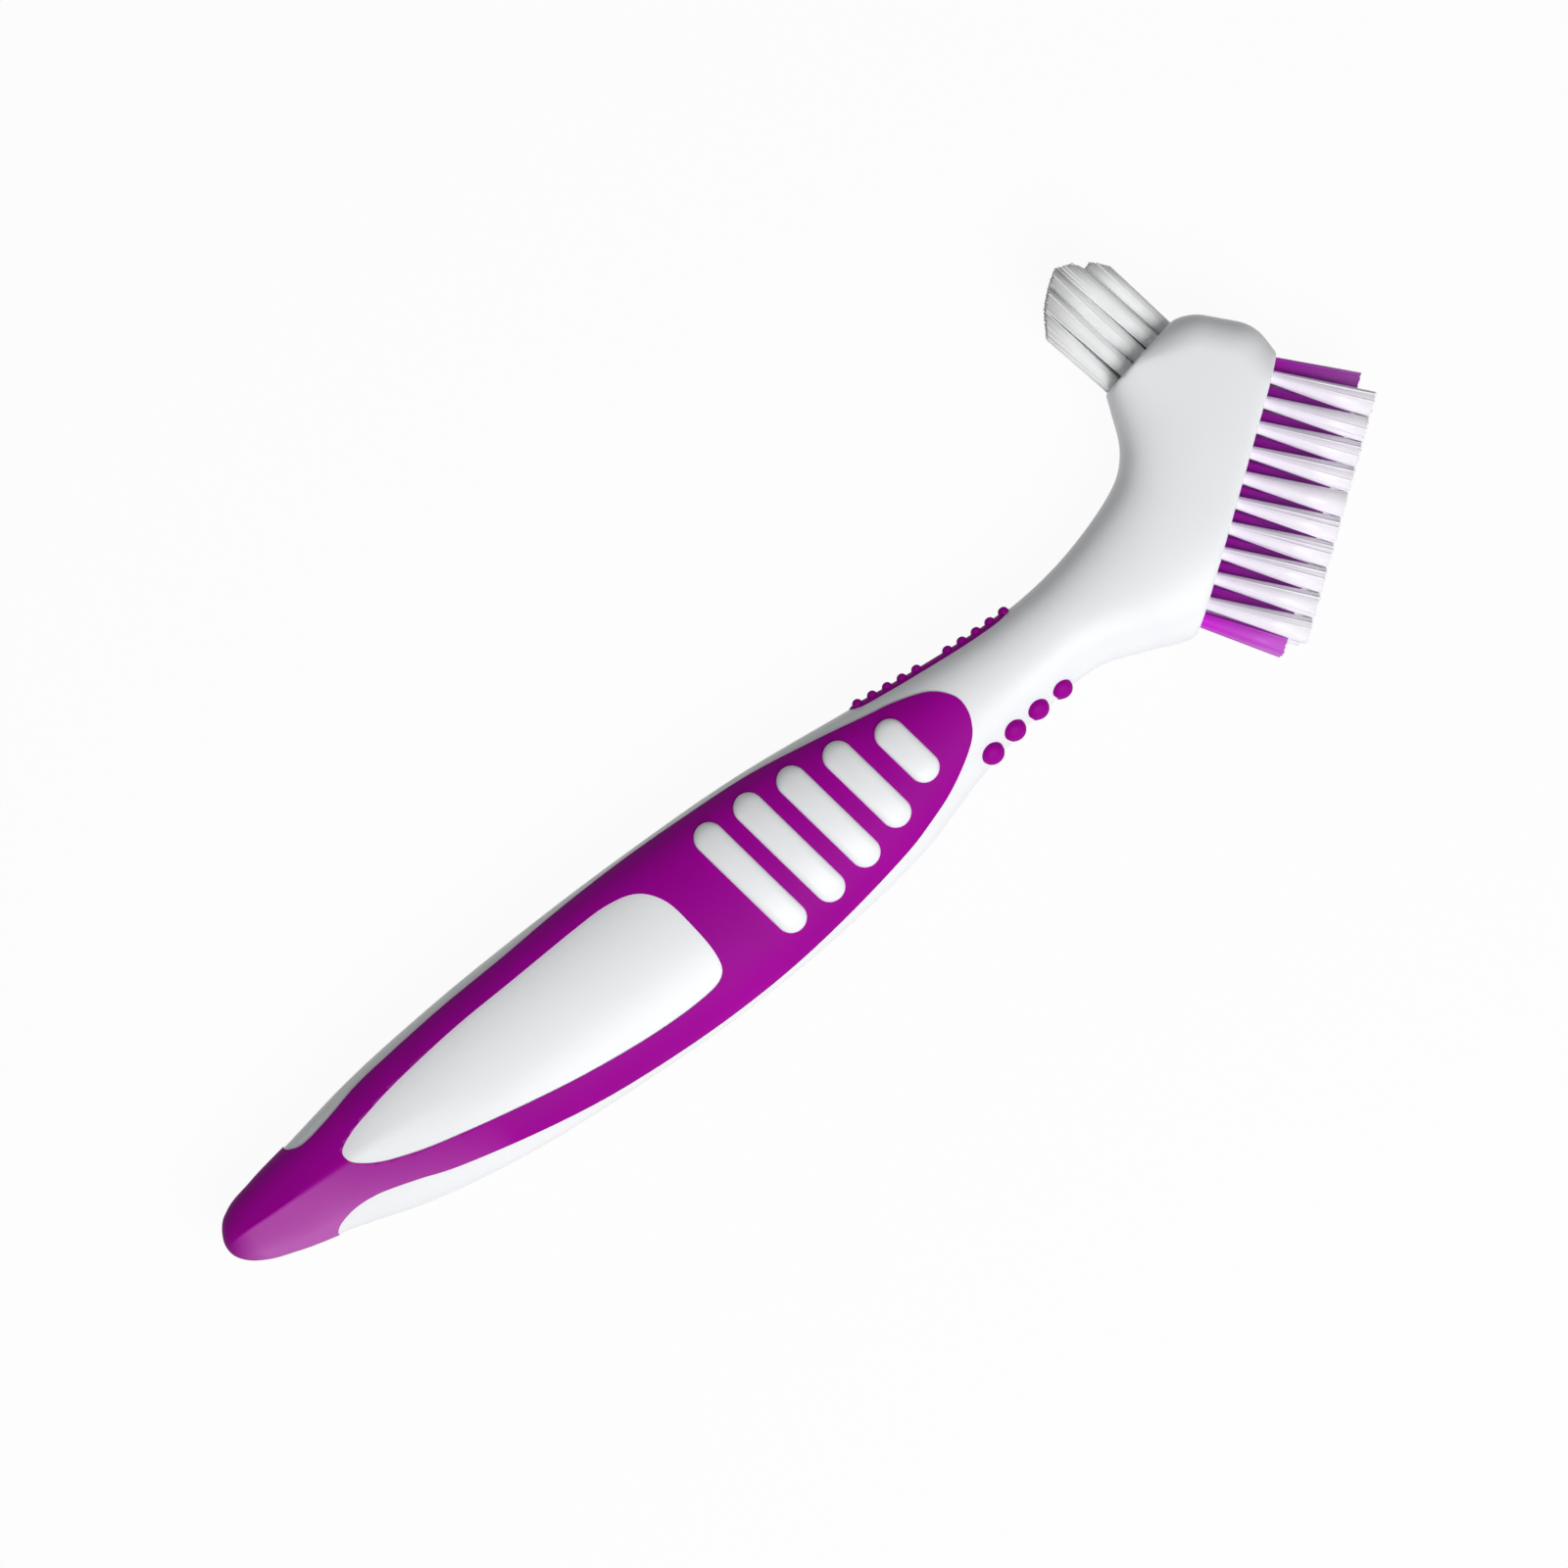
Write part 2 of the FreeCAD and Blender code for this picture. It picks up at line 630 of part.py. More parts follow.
def make_finger_dots(form):
    """Soft studs on the lower edge of the neck, with bevelled heads, near and far."""
    lean = math.radians(DOT_LEAN)
    out = Vector(0, -math.sin(lean), math.cos(lean))
    studs = []
    for number in range(DOT_COUNT):
        along = size("dot_start") + number * size("dot_pitch")
        across = outline_height(along, "lower") + size("dot_inset")
        seat = plan(along, across, surface_height(form.Shape, along, across))
        stem = doc.addObject("Part::Prism", "dot_stem")
        stem.Polygon = DOT_SIDES
        stem.setExpression("Circumradius", "sizes.dot_radius")
        stem.setExpression("Height", "sizes.dot_stem_depth + sizes.dot_height")
        doc.recompute()
        top = stem.Shape.BoundBox.ZMax
        rim = [place for place, edge in enumerate(stem.Shape.Edges, start=1)
               if edge.BoundBox.ZMin > top - NEAR]
        bevel = size("dot_bevel")
        stud = doc.addObject("Part::Chamfer", "finger_dot")
        stud.Base = stem
        stud.Edges = [(edge, bevel, bevel) for edge in rim]
        foot = seat - out * size("dot_stem_depth")
        stud.Placement = Placement(foot, Rotation(Vector(1, 0, 0), DOT_LEAN))
        studs.append(stud)
    near = doc.addObject("Part::Compound", "finger_dots_near")
    near.Links = studs
    return near, mirrored("finger_dots_far", near)


TUFT_SIDES = 6


def add_tuft_outline(sketch, across, expression):
    """A regular outline of one tuft, its centre at a bound distance from the middle row."""
    radius = size("tuft_root_radius")
    first = sketch.GeometryCount
    step = 2 * math.pi / TUFT_SIDES
    corners = []
    for i in range(TUFT_SIDES):
        turn = step * (i + 0.5)
        corners.append((radius * math.cos(turn), across + radius * math.sin(turn)))
    add_closed_line(sketch, corners)
    circle = sketch.addGeometry(
        Part.Circle(Vector(0, across, 0), Vector(0, 0, 1), radius), True)
    constraint = Sketcher.Constraint
    for i in range(TUFT_SIDES):
        sketch.addConstraint(constraint("PointOnObject", first + i, 1, circle))
        if i:
            sketch.addConstraint(constraint("Equal", first, first + i))
    sketch.addConstraint(constraint("Vertical", first + TUFT_SIDES - 1))
    sketch.addConstraint(constraint("PointOnObject", circle, 3, -2))
    bound = sketch.addConstraint(constraint("Radius", circle, radius))
    sketch.setExpression("Constraints[%d]" % bound, "sizes.tuft_root_radius")
    if across > 0:
        bound = sketch.addConstraint(constraint("DistanceY", -1, 1, circle, 3, across))
    elif across < 0:
        bound = sketch.addConstraint(constraint("DistanceY", circle, 3, -1, 1, -across))
    else:
        sketch.addConstraint(constraint("PointOnObject", circle, 3, -1))
        return
    sketch.setExpression("Constraints[%d]" % bound, expression)


def face_direction(low, high):
    """The direction along a brush face in plan, from one corner to the other."""
    return Vector(high[0] - low[0], high[1] - low[1], 0).normalize()


def place_on_face(body, corner, along, outward, distance):
    """Stand a body on a brush face, its own axis outward, at a distance from a corner."""
    spot = head_point(corner) + along * distance
    body.Placement = Placement(spot, Rotation(along, Vector(), outward, "ZXY"))


def make_tuft_line(name, rows, row_size, length, splay):
    """One cross line of tufts: splayed filaments above the face, feet in their sockets."""
    body = new_body(name)
    sketch = local_sketch(body, name + "_outline")
    for row in rows:
        add_tuft_outline(sketch, row * size(row_size), "%s * sizes.%s" % (abs(row), row_size))
    pad(body, sketch, name + "_feet", "sizes.socket_depth", reverse=True)
    filaments = pad(body, sketch, name + "_filaments", length)
    doc.recompute()
    sides = []
    for number, face in enumerate(filaments.Shape.Faces, start=1):
        if face.CenterOfMass.z > 0 and abs(face.normalAt(0, 0).z) < 0.1:
            sides.append("Face%d" % number)
    draft = body.newObject("PartDesign::Draft", name + "_splay")
    draft.Base = (filaments, sides)
    draft.NeutralPlane = (base_plane(body), [""])
    draft.Reversed = True
    draft.setExpression("Angle", splay)
    slot = local_sketch(body, name + "_fold")
    slot.setExpression("AttachmentOffset.Base.z", "-sizes.socket_depth")
    half = size("anchor_thickness") / 2
    reach = max(abs(row) for row in rows) * size(row_size) + 2 * size("tuft_root_radius")
    add_closed_line(slot, [(-half, -reach), (half, -reach), (half, reach), (-half, reach)])
    pocket = body.newObject("PartDesign::Pocket", name + "_slot")
    pocket.Profile = slot
    pocket.Reversed = True
    pocket.setExpression("Length", "sizes.anchor_height")
    return body


def make_sockets(name, spots):
    """The blind sockets of one brush, as a tool to cut the head with."""
    body = new_body(name)
    sketch = local_sketch(body, name + "_plan")
    radius = size("tuft_root_radius")
    for x, y in spots:
        corners = []
        for i in range(TUFT_SIDES):
            turn = 2 * math.pi / TUFT_SIDES * (i + 0.5)
            corners.append((x + radius * math.cos(turn), y + radius * math.sin(turn)))
        add_closed_line(sketch, corners)
    pad(body, sketch, name + "_wells", "sizes.socket_depth", reverse=True)
    return body


def make_anchors(name, spots):
    """Flat metal plates across the socket floors, each in the fold of its tuft."""
    body = new_body(name)
    sketch = local_sketch(body, name + "_plan")
    sketch.setExpression("AttachmentOffset.Base.z", "-sizes.socket_depth")
    half = size("anchor_thickness") / 2
    reach = size("tuft_root_radius") * math.cos(math.pi / TUFT_SIDES)
    for x, y in spots:
        add_closed_line(sketch, [(x - half, y - reach), (x + half, y - reach),
                                 (x + half, y + reach), (x - half, y + reach)])
    pad(body, sketch, name + "_plates", "sizes.anchor_height")
    return body


WHITE_LINES = 10
PURPLE_LINES = 11
# Columns of the small brush: rows of tufts in units of their offset, and tuft length.
SMALL_COLUMNS = [
    ((-0.5, 0.5), 11.4),
    ((-1, 0, 1), 13.7),
    ((-1, 0, 1), 15.4),
    ((-1, 0, 1), 13.5),
    ((-0.5, 0.5), 10.8),
]


def make_large_brush():
    """White rows outside and purple rows inside, their lines staggered."""
    along = face_direction(LARGE_FACE_LOW, LARGE_FACE_HIGH)
    outward = Vector(along.y, -along.x, 0)
    lines = []
    anchors = []
    wells = []
    groups = (
        ("white", WHITE_LINES, "outer_row_offset", "sizes.white_length", "sizes.white_splay"),
        ("purple", PURPLE_LINES, "inner_row_offset", "sizes.purple_length", "sizes.purple_splay"),
    )
    for colour, count, row_size, length, splay in groups:
        spots = []
        for number in range(count):
            distance = (number - (count - 1) / 2) * size("large_pitch")
            name = "%s_tufts_line_%02d" % (colour, number + 1)
            body = make_tuft_line(name, (-1, 1), row_size, length, splay)
            place_on_face(body, LARGE_FACE_LOW, along, outward, size("large_middle") + distance)
            lines.append(body)
            spots += [(distance, -size(row_size)), (distance, size(row_size))]
        plates = make_anchors(colour + "_tuft_anchors", spots)
        place_on_face(plates, LARGE_FACE_LOW, along, outward, size("large_middle"))
        anchors.append(plates)
        wells += spots
    sockets = make_sockets("large_sockets", wells)
    place_on_face(sockets, LARGE_FACE_LOW, along, outward, size("large_middle"))
    return lines, anchors, sockets


def make_small_brush():
    """Five columns of tufts, longest in the middle."""
    along = face_direction(SMALL_FACE_LEFT, SMALL_FACE_RIGHT)
    outward = Vector(-along.y, along.x, 0)
    lines = []
    spots = []
    for number, (rows, length) in enumerate(SMALL_COLUMNS):
        distance = (number - (len(SMALL_COLUMNS) - 1) / 2) * size("small_pitch")
        name = "small_tufts_line_%d" % (number + 1)
        body = make_tuft_line(name, rows, "small_row_offset", str(length), "sizes.small_splay")
        place_on_face(body, SMALL_FACE_LEFT, along, outward, size("small_middle") + distance)
        lines.append(body)
        spots += [(distance, -row * size("small_row_offset")) for row in rows]
    plates = make_anchors("small_tuft_anchors", spots)
    place_on_face(plates, SMALL_FACE_LEFT, along, outward, size("small_middle"))
    sockets = make_sockets("small_sockets", spots)
    place_on_face(sockets, SMALL_FACE_LEFT, along, outward, size("small_middle"))
    return lines, [plates], sockets


outer_form, core = make_forms()
doc.recompute()
grip_shell, ribs = make_grip(outer_form, core)
thumb_pad = make_thumb_pad(outer_form)
dots_near, dots_far = make_finger_dots(outer_form)
large_lines, large_anchors, large_sockets = make_large_brush()
small_lines, small_anchors, small_sockets = make_small_brush()
doc.recompute()

tufts = large_lines + small_lines
anchors = large_anchors + small_anchors
soft = union("soft_pieces", [grip_shell, thumb_pad, dots_near, dots_far])
bare = operation("Part::Cut", "bare_body", outer_form, soft)
ribbed = union("ribbed_body", [bare] + ribs)
bored = operation("Part::Cut", "bored_body", ribbed, large_sockets)
handle_body = operation("Part::Cut", "handle_body", bored, small_sockets)
doc.recompute()

nodes = [handle_body, grip_shell, thumb_pad, dots_near, dots_far] + tufts + anchors
for item in doc.Objects:
    if "Invalid" in item.State or "Error" in item.State:
        raise RuntimeError("%s: %s" % (item.Name, item.State))
for node in nodes:
    node.Label = node.Name
    if node.Shape.isNull() or not node.Shape.isValid():
        raise RuntimeError("bad shape: " + node.Name)

os.makedirs("parts", exist_ok=True)
for node in nodes:
    node.Shape.exportStep("parts/%s.step" % node.Name)
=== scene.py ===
"""Denture brush: smooth two-shot handle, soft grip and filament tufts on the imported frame.

Lengths in the tables below are millimetres in the handle's plan: along runs from the tail to
the head, across runs towards the thumb pad, and height is measured from the mid-plane.
"""

import math
from collections import namedtuple

import bmesh
import bpy
import numpy as np
from bpy.props import FloatProperty, FloatVectorProperty, IntProperty, PointerProperty
from mathutils import Matrix, Vector
from mathutils.bvhtree import BVHTree


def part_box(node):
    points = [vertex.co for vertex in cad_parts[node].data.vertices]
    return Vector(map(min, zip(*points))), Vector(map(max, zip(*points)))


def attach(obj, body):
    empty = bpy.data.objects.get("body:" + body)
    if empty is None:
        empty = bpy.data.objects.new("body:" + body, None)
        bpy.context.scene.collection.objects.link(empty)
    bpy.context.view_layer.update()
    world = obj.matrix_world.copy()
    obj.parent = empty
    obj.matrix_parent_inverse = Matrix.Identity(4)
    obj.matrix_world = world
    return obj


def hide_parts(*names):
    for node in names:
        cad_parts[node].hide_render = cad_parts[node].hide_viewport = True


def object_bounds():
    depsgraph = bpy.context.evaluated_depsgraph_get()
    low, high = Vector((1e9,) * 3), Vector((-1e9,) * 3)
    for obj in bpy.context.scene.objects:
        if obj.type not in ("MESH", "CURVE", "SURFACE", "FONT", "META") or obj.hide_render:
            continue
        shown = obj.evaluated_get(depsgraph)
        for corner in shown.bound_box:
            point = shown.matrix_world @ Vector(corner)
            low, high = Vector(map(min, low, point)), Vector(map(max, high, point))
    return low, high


bl_info = {
    "name": "Denture Brush",
    "version": (1, 0, 0),
    "blender": (4, 5, 0),
    "location": "View3D > Sidebar > Denture Brush",
    "description": "Builds the handle, soft grip and tufts of a denture brush",
    "category": "Object",
}

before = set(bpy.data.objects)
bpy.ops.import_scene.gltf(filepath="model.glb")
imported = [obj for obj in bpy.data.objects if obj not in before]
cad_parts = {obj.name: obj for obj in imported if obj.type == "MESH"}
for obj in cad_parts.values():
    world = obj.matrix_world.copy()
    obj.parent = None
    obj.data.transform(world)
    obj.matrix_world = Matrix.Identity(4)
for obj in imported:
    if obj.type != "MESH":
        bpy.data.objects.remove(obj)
CAD_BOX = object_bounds()

MM = 0.001
TAIL_TIP = -0.95
BELLY_HIGH = 9.3
BELLY_LOW = -16.5
# Cutting tools: room round the form, half height of a prism, start of a line shot at it.
CLEAR = 6.0
THROUGH = 20.0
FAR_OFF = 60.0
# Sections thinner than this from the mid-plane are left out.
THINNEST = 0.05
# Points nearer than this are one, in metres.
TOUCH = 1e-5
WHITE = (1.0, 1.0, 1.0, 1.0)
# The plan's zero in the row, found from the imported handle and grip.
PLAN_ZERO = Vector((
    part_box("grip_shell")[0].x - TAIL_TIP * MM,
    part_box("handle_body")[0].y - BELLY_LOW * MM,
    (CAD_BOX[0].z + CAD_BOX[1].z) / 2,
))

# Sections of the handle: along, upper edge, lower edge, half thickness, crest's fold in degrees.
HANDLE_SECTIONS = [
    (TAIL_TIP, -1.05, -1.6, 0.1, 1),
    (-0.82, -0.5, -2.15, 0.8, 2),
    (-0.55, 0.15, -2.75, 1.4, 3),
    (-0.1, 0.95, -3.4, 2.0, 5),
    (0.7, 1.9, -4.2, 2.7, 9),
    (1.9, 2.65, -5.0, 3.3, 14),
    (6.5, 3.9, -6.85, 4.4, 20),
    (14.0, 5.2, -8.9, 5.5, 15),
    (24.0, 6.95, -12.0, 6.3, 6),
    (38.0, 8.35, -14.6, 6.9, 0),
    (55.0, 9.15, -16.0, 7.15, 0),
    (72.0, BELLY_HIGH, BELLY_LOW, 7.2, 0),
    (89.0, 8.75, -15.5, 7.05, 0),
    (103.0, 7.3, -13.45, 6.75, 0),
    (115.0, 5.9, -10.0, 6.2, 0),
    (127.0, 5.15, -8.0, 5.6, 0),
]
# Sections of the neck and head: upper end, lower end, half thickness, fullness.
HEAD_SECTIONS = [
    ((135.0, 5.6), (135.5, -7.9), 5.75, 0.60),
    ((140.0, 6.5), (141.0, -9.9), 6.2, 0.63),
    ((145.0, 7.9), (146.4, -12.0), 6.9, 0.67),
    ((150.0, 9.9), (154.5, -12.3), 7.6, 0.72),
    ((153.3, 12.7), (166.0, -7.0), 7.86, 0.77),
    ((155.6, 17.7), (180.0, 3.0), 7.95, 0.80),
    ((156.9, 21.5), (187.0, 15.0), 7.95, 0.90),
    ((157.4, 27.0), (189.0, 33.0), 7.95, 0.92),
]
FOLD_CREST = 0.55
OVAL_FULLNESS = 0.56
BELLY_FULLNESS = 0.60

# Corners of the head in plan.
LARGE_FACE_LOW = (147.9, -11.6)
LARGE_FACE_HIGH = (177.1, 11.2)
BACK_EDGE_LOW = (177.0, 15.9)
BACK_EDGE_HIGH = (171.0, 22.3)
SMALL_FACE_RIGHT = (168.7, 22.6)
SMALL_FACE_LEFT = (156.9, 20.2)
# Edges are rounded this far from the back edge's middle, as a share of its length.
BACK_REACH = 0.85

# Edge of the soft panel, from the tail cap's upper corner round the nose to its lower one.
PANEL_EDGE = [
    (12.2, 6.6), (12.7, 5.0), (13.7, 4.25), (15.7, 3.9), (20.0, 4.65), (25.0, 5.85),
    (30.0, 6.5), (40.0, 7.45), (50.0, 7.95), (60.0, 8.6), (70.0, 8.85), (80.0, 8.6),
    (90.0, 8.0), (100.0, 6.4), (106.6, 5.1), (110.5, 4.35), (114.7, 2.9), (116.9, 0.9),
    (117.6, -1.1), (117.0, -3.7), (115.0, -6.1), (110.0, -9.1), (105.0, -11.0),
    (100.0, -12.4), (90.0, -14.2), (80.0, -15.4), (70.0, -15.8), (60.0, -15.5),
    (50.0, -14.6), (40.0, -12.8), (30.0, -10.4), (25.0, -8.7), (20.0, -7.2),
    (16.5, -6.8), (13.7, -7.2), (12.1, -8.0), (11.1, -9.6),
]
# Edge of the white window in the soft panel, from its pointed end.
WINDOW_EDGE = [
    (18.95, -0.75), (19.35, 0.3), (21.4, 1.3), (24.0, 2.0), (30.0, 3.15), (40.0, 4.3),
    (50.0, 4.8), (60.0, 5.3), (65.3, 5.3), (69.3, 4.2), (71.7, 1.3), (72.6, -3.0),
    (72.9, -8.0), (71.8, -10.8), (68.0, -11.7), (60.0, -11.6), (50.0, -10.5), (40.0, -8.7),
    (30.0, -6.5), (25.0, -5.0), (21.8, -3.65), (19.6, -2.05),
]
# Raised ribs: middle along, middle across, length between the centres of the round ends.
RIBS = [
    (82.25, -2.78, 14.65),
    (88.60, -2.63, 14.45),
    (95.00, -2.45, 13.00),
    (101.45, -2.05, 10.25),
    (108.15, -1.65, 6.00),
]
# Shoulder of a rib from its root: inset and rise, as shares of its half width and rise.
RIB_PROFILE = [(0.0, -1.2), (0.0, -0.1), (0.02, 0.3), (0.09, 0.58), (0.22, 0.8), (0.4, 0.94),
               (0.6, 1.0)]
# Steps round each end of a rib and along each of its sides.
RIB_END_STEPS = 20
RIB_SIDE_STEPS = 16
# Thumb strip: rings along it, points across, ends left off, top over and root under the neck.
PAD_STOPS = 70
PAD_LANES = 13
PAD_TRIM = 0.02
PAD_TOP = 0.26
PAD_ROOT = -1.0
# Its shoulder: share of the half width, and fall.
PAD_SHOULDER = 0.2
PAD_FALL = 0.22
# First cross nub of each group along the handle.
NUB_GROUPS = (106.7, 120.2)
NUBS_PER_GROUP = 5
NUB_SIDES = 14
NUB_RISE = 0.12
# End of a nub: distance from its tip, and share of its radius there.
NUB_END = [(0.0, 0.35), (0.18, 0.75), (0.5, 1.0)]
# Finger dots from the tail: middle across, and size.
DOTS = [(-8.45, 1.0), (-7.75, 0.97), (-7.35, 0.94), (-7.1, 0.88)]
DOT_SIDES = 28
# Dome of a dot from its root: width and rise, as shares.
DOT_PROFILE = [(1.0, -1.0), (1.0, 0.1), (0.97, 0.32), (0.89, 0.55), (0.76, 0.74), (0.58, 0.88),
               (0.36, 0.97), (0.12, 1.0)]
# Painted sheen of the tail cap, a pale highlight painted into the rubber's colour where its lower
# slope faces the light: where it starts, is full, begins to fade and is gone along the handle,
# and how fast it grows as the skin turns to the lower edge.
PAINTED_SHEEN_ALONG = (-1.0, 3.0, 14.0, 38.0)
PAINTED_SHEEN_TURN = 1.76
# Large brush: lines of white and of purple tufts.
WHITE_LINES = 10
PURPLE_LINES = 11
# Small brush: rows of tufts in each column, in units of their offset.
SMALL_COLUMNS = [(-0.5, 0.5), (-1, 0, 1), (-1, 0, 1), (-1, 0, 1), (-0.5, 0.5)]
# Trim of the small brush: height over its face against distance from its left corner.
SMALL_DOME = [(-0.5, 10.2), (1.4, 12.3), (2.8, 13.6), (5.0, 14.9), (7.0, 15.8), (8.9, 14.6),
              (9.6, 12.9), (10.6, 13.1), (11.4, 12.0), (12.2, 10.6)]
# The seeds of a brush's lines start at this many times the seed.
LARGE_SEEDS = 100
SMALL_SEEDS = 500

# One tuft: radius at its root and tip, outward lean, trim of its brush, place along the face.
TuftForm = namedtuple("TuftForm", "root tip lean trim distance")
# One filament: shares of its length over the socket, and of its radius from inside it on.
FILAMENT_STOPS = (0.0, 0.35, 0.7, 0.985, 1.0)
FILAMENT_WIDTHS = (1.0, 1.0, 1.0, 1.0, 0.95, 0.6)
# How uneven filaments are: turn at the root and at the tip, tip radius, trim.
ROOT_TURN = 0.15
TIP_TURN = 0.12
TIP_RADIUS = 0.07
TRIM = 0.22
# Packed heart of a tuft: shares of its length, share of its radius.
HEART_STOPS = (-0.05, 0.0, 0.3, 0.6, 0.98)
HEART_WIDTH = 0.95
HEART_SIDES = 12

# Key light and floor, in metres.
KEY_PLACE = (0.0, -0.315, 0.49)
KEY_SIZE = 0.35
FLOOR_HALF = 1.5


# Shared shape work.


def place(points):
    """Plan millimetres to row metres."""
    return [Vector(p) * MM + PLAN_ZERO for p in points]


def smooth_values(rows, stops):
    """Rows of values joined by smooth cubics, read along them, closest at the first."""
    rows = np.array(rows, float)
    middles = (rows[:, 0:2] + rows[:, 2:4]) / 2
    gaps = np.linalg.norm(np.diff(middles, axis=0), axis=1)
    marks = np.concatenate([[0.0], np.cumsum(gaps)])
    slopes = np.diff(rows, axis=0) / gaps[:, None]
    lean = np.empty_like(rows)
    lean[0], lean[-1] = slopes[0], slopes[-1]
    share = (gaps[:-1] / (gaps[:-1] + gaps[1:]))[:, None]
    lean[1:-1] = slopes[:-1] * (1 - share) + slopes[1:] * share
    places = marks[-1] * np.linspace(0.0, 1.0, stops) ** 1.5
    spans = np.clip(np.searchsorted(marks, places, side="right") - 1, 0, len(gaps) - 1)
    width = gaps[spans][:, None]
    t = ((places - marks[spans]) / gaps[spans])[:, None]
    start, end = rows[spans], rows[spans + 1]
    return ((2 * t**3 - 3 * t**2 + 1) * start + (t**3 - 2 * t**2 + t) * width * lean[spans]
            + (3 * t**2 - 2 * t**3) * end + (t**3 - t**2) * width * lean[spans + 1])


def smooth_line(points, steps, closed):
    """A smooth run of plan points through the given ones."""
    points = [Vector(p) for p in points]
    count = len(points)
    spans = count if closed else count - 1
    line = []
    for i in range(spans):
        near = range(i - 1, i + 3)
        a, b, c, d = (points[k % count if closed else min(max(k, 0), count - 1)] for k in near)
        for step in range(steps):
            t = step / steps
            line.append(0.5 * ((2 * b) + (c - a) * t + (2 * a - 5 * b + 4 * c - d) * t**2
                               + (3 * b - a - 3 * c + d) * t**3))
    if not closed:
        line.append(points[-1])
    return line


def section_ring(row, offset, points):
    """One closed section of the handle, grown or shrunk by an offset."""
    upper = Vector((*row[0:2], 0.0))
    lower = Vector((*row[2:4], 0.0))
    half, crest, fullness, fold = row[4:]
    half = half + offset
    across = (upper - lower).normalized()
    upper = upper + across * offset
    lower = lower - across * offset
    ridge = lower.lerp(upper, crest)
    fold = math.radians(fold)
    height = Vector((0.0, 0.0, 1.0))
    ring = []
    turns = ((upper, 1, 1, False), (lower, 1, -1, True),
             (lower, -1, -1, False), (upper, -1, 1, True))
    for edge, side, way, back in turns:
        reach = fullness * (edge - ridge).length
        crown = ridge + height * (side * half)
        edge_lead = edge + height * (side * fullness * half)
        crown_lead = (crown + across * (way * reach * math.cos(fold))
                      - height * (side * reach * math.sin(fold)))
        poles = [edge, edge_lead, crown_lead, crown]
        if back:
            poles.reverse()
        for step in range(points // 4):
            t = step / (points // 4)
            ring.append(poles[0] * (1 - t)**3 + poles[1] * (3 * t * (1 - t)**2)
                        + poles[2] * (3 * t**2 * (1 - t)) + poles[3] * t**3)
    return ring


def handle_rows():
    """All sections of the handle and head as rows of plain values."""
    rows = []
    for along, upper, lower, half, fold in HANDLE_SECTIONS:
        crest, fullness = (FOLD_CREST, OVAL_FULLNESS) if fold else (0.5, BELLY_FULLNESS)
        rows.append((along, upper, along, lower, half, crest, fullness, fold))
    for upper, lower, half, fullness in HEAD_SECTIONS:
        rows.append((*upper, *lower, half, 0.5, fullness, 0.0))
    return rows


def hull_piece(name, settings, offset):
    """The whole smooth form of the handle as one closed mesh, tail end domed."""
    rows = smooth_values(handle_rows(), settings.lengthwise_steps)
    rings = [section_ring(row, offset, settings.ring_points) for row in rows
             if row[4] + offset > THINNEST]
    points = place([point for ring in rings for point in ring])
    return mesh_piece(name, points, tube_faces(len(rings), settings.ring_points))


def spokes(sides):
    """Cosine and sine of even turns round a circle."""
    turns = [2 * math.pi * number / sides for number in range(sides)]
    return [(math.cos(turn), math.sin(turn)) for turn in turns]


def tube_faces(rings, count, first=0):
    """Faces of a closed tube over rings of as many points each, numbered from a first one."""
    faces = []
    for i in range(rings - 1):
        low = first + i * count
        for j in range(count):
            k = (j + 1) % count
            faces.append((low + j, low + k, low + count + k, low + count + j))
    last = first + (rings - 1) * count
    return faces + [tuple(range(first, first + count))[::-1], tuple(range(last, last + count))]


def link_object(name, data):
    """A new object in the scene, with its data."""
    item = bpy.data.objects.new(name, data)
    bpy.context.scene.collection.objects.link(item)
    return item


def mesh_piece(name, points, faces):
    """A new piece from points in the row and faces, its normals outward."""
    mesh = bpy.data.meshes.new(name)
    mesh.from_pydata([tuple(p) for p in points], [], faces)
    work = bmesh.new()
    work.from_mesh(mesh)
    bmesh.ops.recalc_face_normals(work, faces=work.faces)
    work.to_mesh(mesh)
    work.free()
    mesh.shade_smooth()
    return link_object(name, mesh)


def prism_piece(name, outline, height):
    """A straight prism over a closed plan outline, through both broad sides."""
    count = len(outline)
    low = [Vector((p[0], p[1], -height)) for p in outline]
    high = [Vector((p[0], p[1], height)) for p in outline]
    faces = [(i, (i + 1) % count, count + (i + 1) % count, count + i) for i in range(count)]
    faces += [tuple(range(count)), tuple(range(count, 2 * count))]
    return mesh_piece(name, place(low + high), faces)


def settle(piece):
    """Make a piece's modifiers part of its mesh."""
    graph = bpy.context.evaluated_depsgraph_get()
    mesh = bpy.data.meshes.new_from_object(piece.evaluated_get(graph), depsgraph=graph)
    old = piece.data
    piece.modifiers.clear()
    piece.data = mesh
    mesh.name = piece.name
    bpy.data.meshes.remove(old)


def drop_piece(piece):
    """Remove a piece and its mesh."""
    mesh = piece.data
    bpy.data.objects.remove(piece)
    bpy.data.meshes.remove(mesh)


def carve(piece, tool, way):
    """Keep the common part of two solids, or cut one with the other, and drop the tool."""
    step = piece.modifiers.new("carve", "BOOLEAN")
    step.operation = way
    step.solver = "EXACT"
    step.object = tool
    settle(piece)
    drop_piece(tool)


def crisp(piece, degrees):
    """Smooth shading with sharp edges over an angle."""
    work = bmesh.new()
    work.from_mesh(piece.data)
    for face in work.faces:
        face.smooth = True
    for edge in work.edges:
        edge.smooth = edge.is_manifold and edge.calc_face_angle(0.0) < math.radians(degrees)
    work.to_mesh(piece.data)
    work.free()


